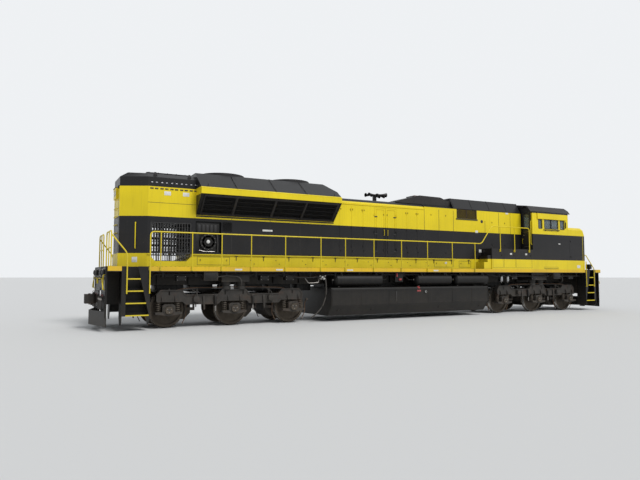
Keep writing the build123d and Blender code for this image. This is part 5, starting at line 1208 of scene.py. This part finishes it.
def cushion(low, high):  # a crowned pad with soft edges
    half = [(b - a) / 2 for a, b in zip(low, high)]
    pad = block([-side for side in half], half, "vinyl")
    addModifier(pad, "BEVEL", width=min(half) * 0.84, segments=4)
    editAll((bpy.ops.mesh.subdivide, {"number_cuts": 3}))
    addModifier(pad, "CAST", factor=0.1)
    repeat(pad, [(Vector(low) + Vector(high)) / 2])


def makeSeats():
    arms = []
    for sideName in ("Right", "Left"):
        for name in ("seatPad", "backPad"):
            cushion(*seats[name])
            if sideName == "Right":
                turnOver()
            pad = [part for part in bench() if part not in arms]
            gather(name + sideName, "carbody", 60, pad)
        for y in seats["arms"]:
            bentTube(((7.38, y, 3.5), (7.68, y, 3.5), (7.68, y, 3.24)), 0.018, 0.05, "rubber")
        if sideName == "Right":
            turnOver()
            arms = bench()
    for y in (-1.3, -1.04, -0.78):  # screens and handles on the desk
        block((8.26, y, 3.61), (8.34, y + 0.22, 3.8), "dark", 0.01)
    for y in (-0.95, -0.85, -0.75, -0.65):
        rod((8.2, y, 3.61), (8.17, y, 3.7), 0.01, "bright", 10, 0.002)
    gather("cabSeats", "carbody", 50)


panels = {"grilleRear": 2.54, "grilleFront": 3.64, "grilleLow": 3.94, "grilleHigh": 4.32, "slats": 13,
          "labels": ((3.62, 3.42, 0.07, 0.05, 0.95), (5.4, 4.28, 0.08, 0.035, 0.95),
                     (3.8, 2.62, 0.07, 0.06, 0.95), (5.0, 2.5, 0.06, 0.035, 1.5),
                     (5.9, 2.5, 0.06, 0.035, 1.5)),  # place, height, half width, half height, face
          "drawers": ((-8.18, -7.12), (1.32, 2.3), (2.6, 3.24)), "shelf": 0.975,
          "doors": ((3.95, 4.55), (4.6, 5.25), (5.3, 6.25)), "tallDoors": (2.4, 0.65, 6),
          "louvres": (3.15, 0.05, 7)}


def makeRightPanels():  # air grille, drawers, low cabinet and blank notices
    line, shelf, half = body["hoodHalf"], panels["shelf"], body["half"]
    rear, low, high = panels["grilleRear"], panels["grilleLow"], panels["grilleHigh"]
    outline = ((0.948, 0), (0.915, 0.02), (0.912, 0.014), (0.945, -0.006))
    slat = crossPlate(rear, outline, panels["grilleFront"] - rear, "brown")
    pitch = (high - low) / panels["slats"]
    repeat(slat, [(0, 0, z) for z in spaced(low + 0.012, pitch, panels["slats"])])
    # a dark strip just below the grille, as painted shadow
    block((2.5, line, 3.885), (3.68, 0.968, 3.935), "dark", 0.004)
    block((3.06, 0.94, low), (3.08, 0.952, high), "brown")
    for x in (rear, 3.62):
        block((x, 0.94, low), (x + 0.02, 0.956, high), "dark", 0.002)
    turned("roundCover", (3.92, line, 3.86), across, "dark", 20)
    for x, z, halfWide, halfHigh, y in panels["labels"]:
        block((x - halfWide, y, z - halfHigh), (x + halfWide, y + 0.003, z + halfHigh), "white", 0.001)
    block((1.86, shelf, 2.06), (1.96, 0.979, 2.14), "white", 0.001)
    for x1, x2 in panels["drawers"]:
        outlineStrip(x1, x2, 1.93, 2.19, shelf, 0.01)
        latch(x1 + 0.1, shelf, 2.1)
        latch(x2 - 0.1, shelf, 2.1)
    for x1, x2 in panels["doors"]:
        outlineStrip(x1, x2, 1.92, 2.66, half, 0.006)
        latch(x2 - 0.08, half, 2.45)
    for x, z in [(x, z) for x in (5.42, 5.6, 5.78) for z in (2.5, 2.545, 2.59)]:
        block((x, half, z), (x + 0.12, 1.508, z + 0.015), "dark", 0.002)


def makeLeftPanels():  # tall cabinet
    half = body["half"]
    for x in spaced(*panels["tallDoors"]):
        outlineStrip(x, x + 0.62, 1.93, 2.66, half, 0.006)
        outlineStrip(x, x + 0.62, 2.7, 3.94, half, 0.006)
        for z in (2.3, 2.9, 3.75):
            latch(x + 0.55, half, z)
        for z in spaced(*panels["louvres"]):
            crossPlate(x + 0.12, ((half, z), (half, z + 0.035), (1.522, z)), 0.32, "hull")


def makeSidePanels():
    bar = block((-0.009, 0.95, 2.06), (0.009, 0.968, 2.275), "dark", 0.002)  # low in the brake grids' opening
    repeat(bar, [(x, 0, 0) for x in spaced(*grids["bars"])])
    bothSides()
    makeRightPanels()
    turnOver()
    makeLeftPanels()
    block((-9.45, -0.9, 2.045), (-8.5, 0.9, 2.06), "dark")
    gather("sidePanels", "carbody")


horn = {"x": -0.85, "height": 4.77, "manifoldHalf": 0.26, "throat": 0.02, "flare": 2.3, "wall": 0.005,
        "rings": 12, "trumpets": ((-0.2, 1, 0.42, 0.17), (-0.1, -1, 0.33, 0.15), (0.0, 1, 0.46, 0.19),
                                  (0.1, -1, 0.36, 0.16), (0.2, 1, 0.38, 0.16))}  # place, way, length, bell


def makeHorn():  # flared hollow trumpets on a shared manifold
    x, z, throat, flare, rings = (horn[key] for key in ("x", "height", "throat", "flare", "rings"))
    rod((x, -horn["manifoldHalf"], z), (x, horn["manifoldHalf"], z), 0.03, "roof", 24, 0.006)
    block((x - 0.06, -0.06, 4.4), (x + 0.06, 0.06, z), "roof", 0.01)
    block((x - 0.1, -0.1, body["engineRoof"]), (x + 0.1, 0.1, 4.445), "roof", 0.004)
    for y, way, length, bell in horn["trumpets"]:
        outer = [(throat + (bell / 2 - throat) * (n / rings) ** flare, length * n / rings)
                 for n in range(rings + 1)]
        inner = [(max(radius - horn["wall"], 0.004), height - 0.001) for radius, height in reversed(outer)]
        turned([(0.0, 0.0), *outer, *inner, (0.0, 0.02)], (x, y, z), (way, 0, 0), "roof", 28)
        turned("hornChamber", (x, y, z), (way, 0, 0), "roof", 20)
    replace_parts(gather("hornTrumpets", "carbody", 40), "horn")


def makeRoofFittings():
    high, cabRoof = body["cabinetRoof"], body["cabRoof"]
    bolts([(x, 0.6, body["engineRoof"]) for x in spaced(-3.0, 0.4, 6)], up, 0.013, "roof")
    bolts([(x + dx, 0.32, 4.788) for x in (2.9, 4.9) for dx in (-0.27, 0, 0.27)], up, 0.014, "roof")
    block((0.9, 0.22, 4.82), (1.66, 0.26, 4.856), "rusty", 0.005)  # exhaust stack rim and inner baffles
    block((0.95, 0.074, 4.78), (1.61, 0.086, 4.852), "dark")
    bothSides()
    for x in (0.95, 1.61):
        block((x - 0.03, -0.25, 4.82), (x + 0.03, 0.25, 4.856), "rusty", 0.005)
    for x in (2.42, 3.4, 4.4, 5.4, 6.2):  # lap seams over the cabinet hood
        seam = ((x, -0.955, 4.34), (x, -0.725, high), (x, 0.725, high), (x, 0.955, 4.34))
        bentTube(seam, 0.009, 0, "roof", 1)
    for x in (2.9, 4.9):
        block((x - 0.3, -0.35, high), (x + 0.3, 0.35, 4.79), "roof", 0.006)
    block((6.95, -0.45, cabRoof), (7.9, 0.45, 4.77), "roof", 0.01)
    for x, y in ((8.1, 0.35), (8.1, -0.2), (6.6, 0.3)):  # aerials
        turned("aerial", (x, y, cabRoof), up, "white", 20)
    rod((8.35, 0.45, cabRoof), (8.35, 0.45, 4.94), 0.006, "dark", 8)
    gather("roofFittings", "carbody")


makeCabTrim()
makeNoseLamps()
makeDoorHandles()
makeSeats()
makeSidePanels()
makeHorn()
makeRoofFittings()
print("cab and roof ready")

# Underside: ducts, pipes, valves, brackets, dryers and the tank's fittings
under = {"ductHalf": 0.42, "ductLow": 1.07, "ductTop": 1.31, "ducts": ((0.5, 1.25), (1.45, 2.3), (2.55, 3.1)),
         "pipeLine": 1.33, "pipeHigh": 1.63, "brackets": (-9.3, 0.98, 20), "jackPads": 7.87,
         "pipes": ((0.0, 0.0, 0.024, "chassis"), (-0.07, 0.02, 0.017, "rusty"),
                   (-0.14, -0.01, 0.02, "chassis")),  # offset, rise, radius, paint
         "run": ((-9.55, 0), (-5.2, 0), (-4.9, 0.1), (-4.2, 0.1), (-3.9, 0), (4.0, 0), (4.3, 0.06),
                 (9.6, 0.06)),  # place, sag
         "boxes": (-8.9, -6.2, -5.3, 5.2, 6.4, 8.8), "dryers": (4.62, 4.98)}


def makeDucts():  # air ducts to the traction motors, under the centre sill
    half, low, top = under["ductHalf"], under["ductLow"], under["ductTop"]
    proud = half + 0.012
    for end, way in [(end, way) for end in sides for way in sides]:
        for near, far in under["ducts"][:2 if way == end else 3]:
            x1, x2 = (end * truck["centre"] + way * x for x in (near, far))
            block((x1, -half, low), (x2, half, top), "chassis", 0.02)
            for rib in [x1 + (x2 - x1) * share for share in (0.25, 0.5, 0.75)]:
                block((rib - 0.012, -proud, low + 0.01), (rib + 0.012, proud, top - 0.02), "chassis", 0.004)
    gather("motorDucts", "carbody")


def makePipes():  # air pipes and cable trunking hung under the side sill
    for offset, rise, radius, paint in under["pipes"]:
        y, z = under["pipeLine"] + offset, under["pipeHigh"] + rise
        bentTube([(x, y, z - sag) for x, sag in under["run"]], radius, 0.1, paint)
    for rear, front in ((-9.2, -4.8), (4.5, 9.3)):
        block((rear, 1.05, 1.56), (front, 1.13, 1.66), "chassis", 0.01)
    for x in spaced(*under["brackets"]):
        block((x - 0.02, 1.16, 1.56), (x + 0.02, 1.37, 1.575), "chassis")
        block((x - 0.02, 1.36, 1.56), (x + 0.02, 1.372, 1.72), "chassis")
        block((x - 0.008, 0.44, 1.33), (x + 0.008, 0.5, 1.7), "chassis")
    for x in under["boxes"]:  # junction boxes
        block((x, 1.12, 1.44), (x + 0.3, 1.34, 1.6), "chassis", 0.012)
        bolts([(x + dx, 1.34, z) for dx in (0.03, 0.27) for z in (1.465, 1.575)], across, 0.01, "bright")
    for end in sides:  # pipe down to the truck beside the jacking pad
        x, pad = end * 7.62, end * under["jackPads"]
        bentTube(((x, 1.36, 1.56), (x + 0.28, 1.36, 1.6), (x + 0.72, 1.34, 1.56), (x + 0.8, 1.33, 1.36),
                  (x + 0.8, 1.24, 1.29)), 0.022, 0.1, "rubber")
        block((pad - 0.2, 1.462, 1.47), (pad + 0.2, 1.47, 1.66), "chassis", 0.004)
        bolts([(pad + dx, 1.47, z) for dx in (-0.17, 0.17) for z in (1.5, 1.63)], across, 0.014, "dark")
    for x in under["dryers"]:  # air dryer bottles
        turned("dryerBottle", (x, 1.3, 1.34), up, "aluminium", 24)
        block((x - 0.1, 1.2, 1.58), (x + 0.1, 1.39, 1.62), "chassis", 0.006)
        rod((x, 1.3, 1.3), (x, 1.3, 1.35), 0.015, "bright", 10)
    bothSides()
    gather("underPipes", "carbody")


valves = {"x": -3.92, "cutoff": -0.66,
          "stubs": ((-0.1, 1.585, "bright"), (0.0, 1.55, "white"), (0.1, 1.585, "bright"),
                    (-0.06, 1.49, "bright"), (0.07, 1.49, "white"))}  # place, height, paint


def makeValves():  # manifold with pale valves behind the rear truck, its hose and the fuel cut-off
    x, cut = valves["x"], valves["cutoff"]
    block((x - 0.16, 1.1, 1.46), (x + 0.16, 1.3, 1.62), "casting", 0.015)
    for dx, z, paint in valves["stubs"]:
        turned("valveStub", (x + dx, 1.3, z), across, paint, 18)
    bentTube(((x + 0.12, 1.34, 1.5), (x + 0.17, 1.34, 1.1), (x + 0.1, 1.33, 0.7), (x - 0.1, 1.29, 0.36),
              (x - 0.36, 1.22, 0.17)), 0.024, 0.22, "rubber", 3)
    pipe = ((x - 0.1, 1.26, 1.47), (x - 0.1, 1.26, 1.36), (x - 0.5, 1.26, 1.34), (x - 0.62, 1.26, 1.5))
    bentTube(pipe, 0.014, 0.05, "bright")
    block((cut - 0.07, 1.36, 1.42), (cut + 0.04, 1.43, 1.49), "red", 0.012)
    rod((cut - 0.16, 1.4, 1.55), (cut - 0.16, 1.4, 1.68), 0.03, "red", 16, 0.005)
    rod((cut + 0.02, 1.3, 1.46), (cut + 0.02, 1.38, 1.46), 0.02, "chassis", 12)
    block((cut - 0.22, 1.28, 1.36), (cut + 0.14, 1.37, 1.7), "chassis", 0.01)
    bothSides()
    gather("underValves", "carbody")


tank = {"end": 3.65, "half": 1.5, "knee": 0.56, "bottom": 0.2, "bottomHalf": 1.2, "filler": 0.12,
        "seams": (-2.45, -1.25, 0.55, 1.75, 2.75), "covers": (-3.3, -1.9, 1.2, 3.3),
        "reservoirLine": 1.24, "reservoirs": ((-3.46, -1.41), (0.07, 1.87), (2.01, 3.81))}  # rear, front


def tankSeam(x, top, foot, proud, width, way=1):  # down the side and the sloped foot
    half, bottomHalf, knee, foot = tank["half"], tank["bottomHalf"], tank["knee"], tank["bottom"] + foot
    outline = ((half, top), (half + proud, top), (half + proud, knee), (bottomHalf + proud, foot),
               (bottomHalf, foot), (half, knee))
    crossPlate(x, outline, width, "chassis", way=way)


def makeTankFittings():
    half, line, filler = tank["half"], tank["reservoirLine"], tank["filler"]
    for x in tank["seams"]:
        tankSeam(x, 1.12, 0.01, 0.006, 0.016)
    for end in sides:
        tankSeam(end * (tank["end"] - 0.03), 1.14, 0.005, 0.01, 0.02, -end)
    block((-3.6, half, 1.06), (3.6, 1.508, 1.076), "chassis", 0.002)
    block((-3.6, half, 0.585), (3.6, 1.506, 0.597), "chassis", 0.002)
    turned("fillerCap", (filler, 1.44, 1.1), (0, 0.5, 0.86), "red", 28)
    block((filler - 0.09, half, 1.0), (filler + 0.09, 1.506, 1.06), "red", 0.003)
    gauge = (filler + 0.32, half, 0.99)
    turned("gaugeRing", gauge, across, "dark", 24)
    turned("gaugeGlass", gauge, across, "lamp", 24)
    block((-0.95, half, 0.66), (-0.9, 1.512, 1.02), "dark", 0.004)
    for x in tank["covers"]:  # on the sloped foot
        turned("inspectionCover", (x, 1.35, 0.38), (0, 0.77, -0.64), "chassis", 24)
    for rear, front in tank["reservoirs"]:
        for x, way in ((rear, -1), (front, 1)):
            turned("reservoirPlug", (x, line, 1.44), (way, 0, 0), "bright", 18)
        rod((rear + 0.25, line, 1.19), (rear + 0.25, line, 1.23), 0.016, "bright", 12)
        spots = [(x, y, z) for x in (rear + 0.3, front - 0.3) for y, z in ((1.4, 1.6), (1.33, 1.64))]
        bolts(spots, (0, 0.7, 0.7), 0.014, "bright")
    for x1, x2, x3 in ((-1.41, -1.2, -1.1), (0.07, -0.2, -0.3)):
        bentTube(((x1, line, 1.44), (x2, line, 1.44), (x3, 1.2, 1.6)), 0.018, 0.08, "chassis")
    bothSides()
    gather("tankFittings", "carbody")


walkway = {"low": 1.04, "high": 1.47, "pitch": 0.13, "rear": -9.6, "leftFront": 2.3, "rightFront": 3.4,
           "notices": (-7.0, -5.6, -2.9, 0.95)}


def gripStrips(first, last):
    deck = body["deck"]
    strip = block((-0.008, walkway["low"], deck), (0.008, walkway["high"], deck + 0.006), "dark")
    repeat(strip, [(walkway["rear"] + n * walkway["pitch"], 0, 0) for n in range(first, last)])


def makeWalkwayGrip():  # raised strips across the walkways along the hood
    rear, pitch = walkway["rear"], walkway["pitch"]
    left, right = (int((walkway[key] - rear) / pitch) for key in ("leftFront", "rightFront"))
    gripStrips(0, left)
    for x in walkway["notices"]:  # blank notices on the sill
        block((x - 0.12, body["half"], 1.76), (x + 0.12, 1.503, 1.81), "white", 0.001)
    bothSides()
    gripStrips(left, right)
    turnOver()
    gather("walkwayGrip", "carbody")


makeDucts()
makePipes()
makeValves()
makeTankFittings()
makeWalkwayGrip()
print("underside ready")

# Floor, light and camera
stage = {"floorRadius": 400.0, "floorColour": (0.62, 0.62, 0.61, 1), "sunStrength": 2.3, "sunSpread": 0.35,
         "sunWay": (-0.18, 0.62, -0.76), "skyStrength": 0.5, "skyColour": (0.9, 0.94, 1.0, 1),
         "backdrop": (0.86, 0.88, 0.9, 1), "cameraPlace": (-12.781, -17.7, 1.611), "cameraTurn": 0.492,
         "cameraTilt": 0.065, "lens": 30.4}


def makeFloor():
    bpy.ops.mesh.primitive_circle_add(vertices=96, radius=stage["floorRadius"], fill_type="NGON")
    floor = bpy.context.object
    floor.name = "floor"
    material, _, shader = startMaterial("floorPaint", Roughness=0.9)[:3]
    shader.inputs["Base Color"].default_value = stage["floorColour"]
    coat(floor, material)


def makeSky():  # dim light from all round, with a pale backdrop where it is seen
    world = bpy.data.worlds.new("softSky")
    bpy.context.scene.world = world
    world.use_nodes = True
    tree = world.node_tree
    sky = tree.nodes["Background"]
    sky.inputs[0].default_value = stage["skyColour"]
    sky.inputs[1].default_value = stage["skyStrength"]
    seen = addNode(tree, "LightPath").outputs
    direct = maths(tree, "MAXIMUM", seen["Is Camera Ray"], seen["Is Glossy Ray"])
    direct = maths(tree, "MAXIMUM", direct, seen["Is Transmission Ray"])
    backdrop = addNode(tree, "Background", {0: stage["backdrop"], 1: 1.0})
    mixed = addNode(tree, "MixShader", {0: direct, 1: sky.outputs[0], 2: backdrop.outputs[0]})
    tree.links.new(mixed.outputs[0], tree.nodes["World Output"].inputs[0])


def placed(name, data, place, direction):  # an object that looks along a direction
    holder = bpy.data.objects.new(name, data)
    holder.location = place
    holder.rotation_euler = Vector(direction).to_track_quat("-Z", "Y").to_euler()
    bpy.context.scene.collection.objects.link(holder)
    return holder


def makeLightAndCamera():
    sun = bpy.data.lights.new("softSun", "SUN")
    sun.energy = stage["sunStrength"]
    sun.angle = stage["sunSpread"]
    placed("softSun", sun, (0, 0, 0), stage["sunWay"])
    camera = bpy.data.cameras.new("photoView")
    camera.lens = stage["lens"]
    camera.sensor_width = 36.0
    camera.clip_end = 2000.0
    turn, tilt = stage["cameraTurn"], stage["cameraTilt"]
    forward = (math.sin(turn) * math.cos(tilt), math.cos(turn) * math.cos(tilt), math.sin(tilt))
    bpy.context.scene.camera = placed("photoView", camera, stage["cameraPlace"], forward)


makeFloor()
makeSky()
makeLightAndCamera()
bpy.context.scene.view_settings.view_transform = "Standard"
print("stage ready")
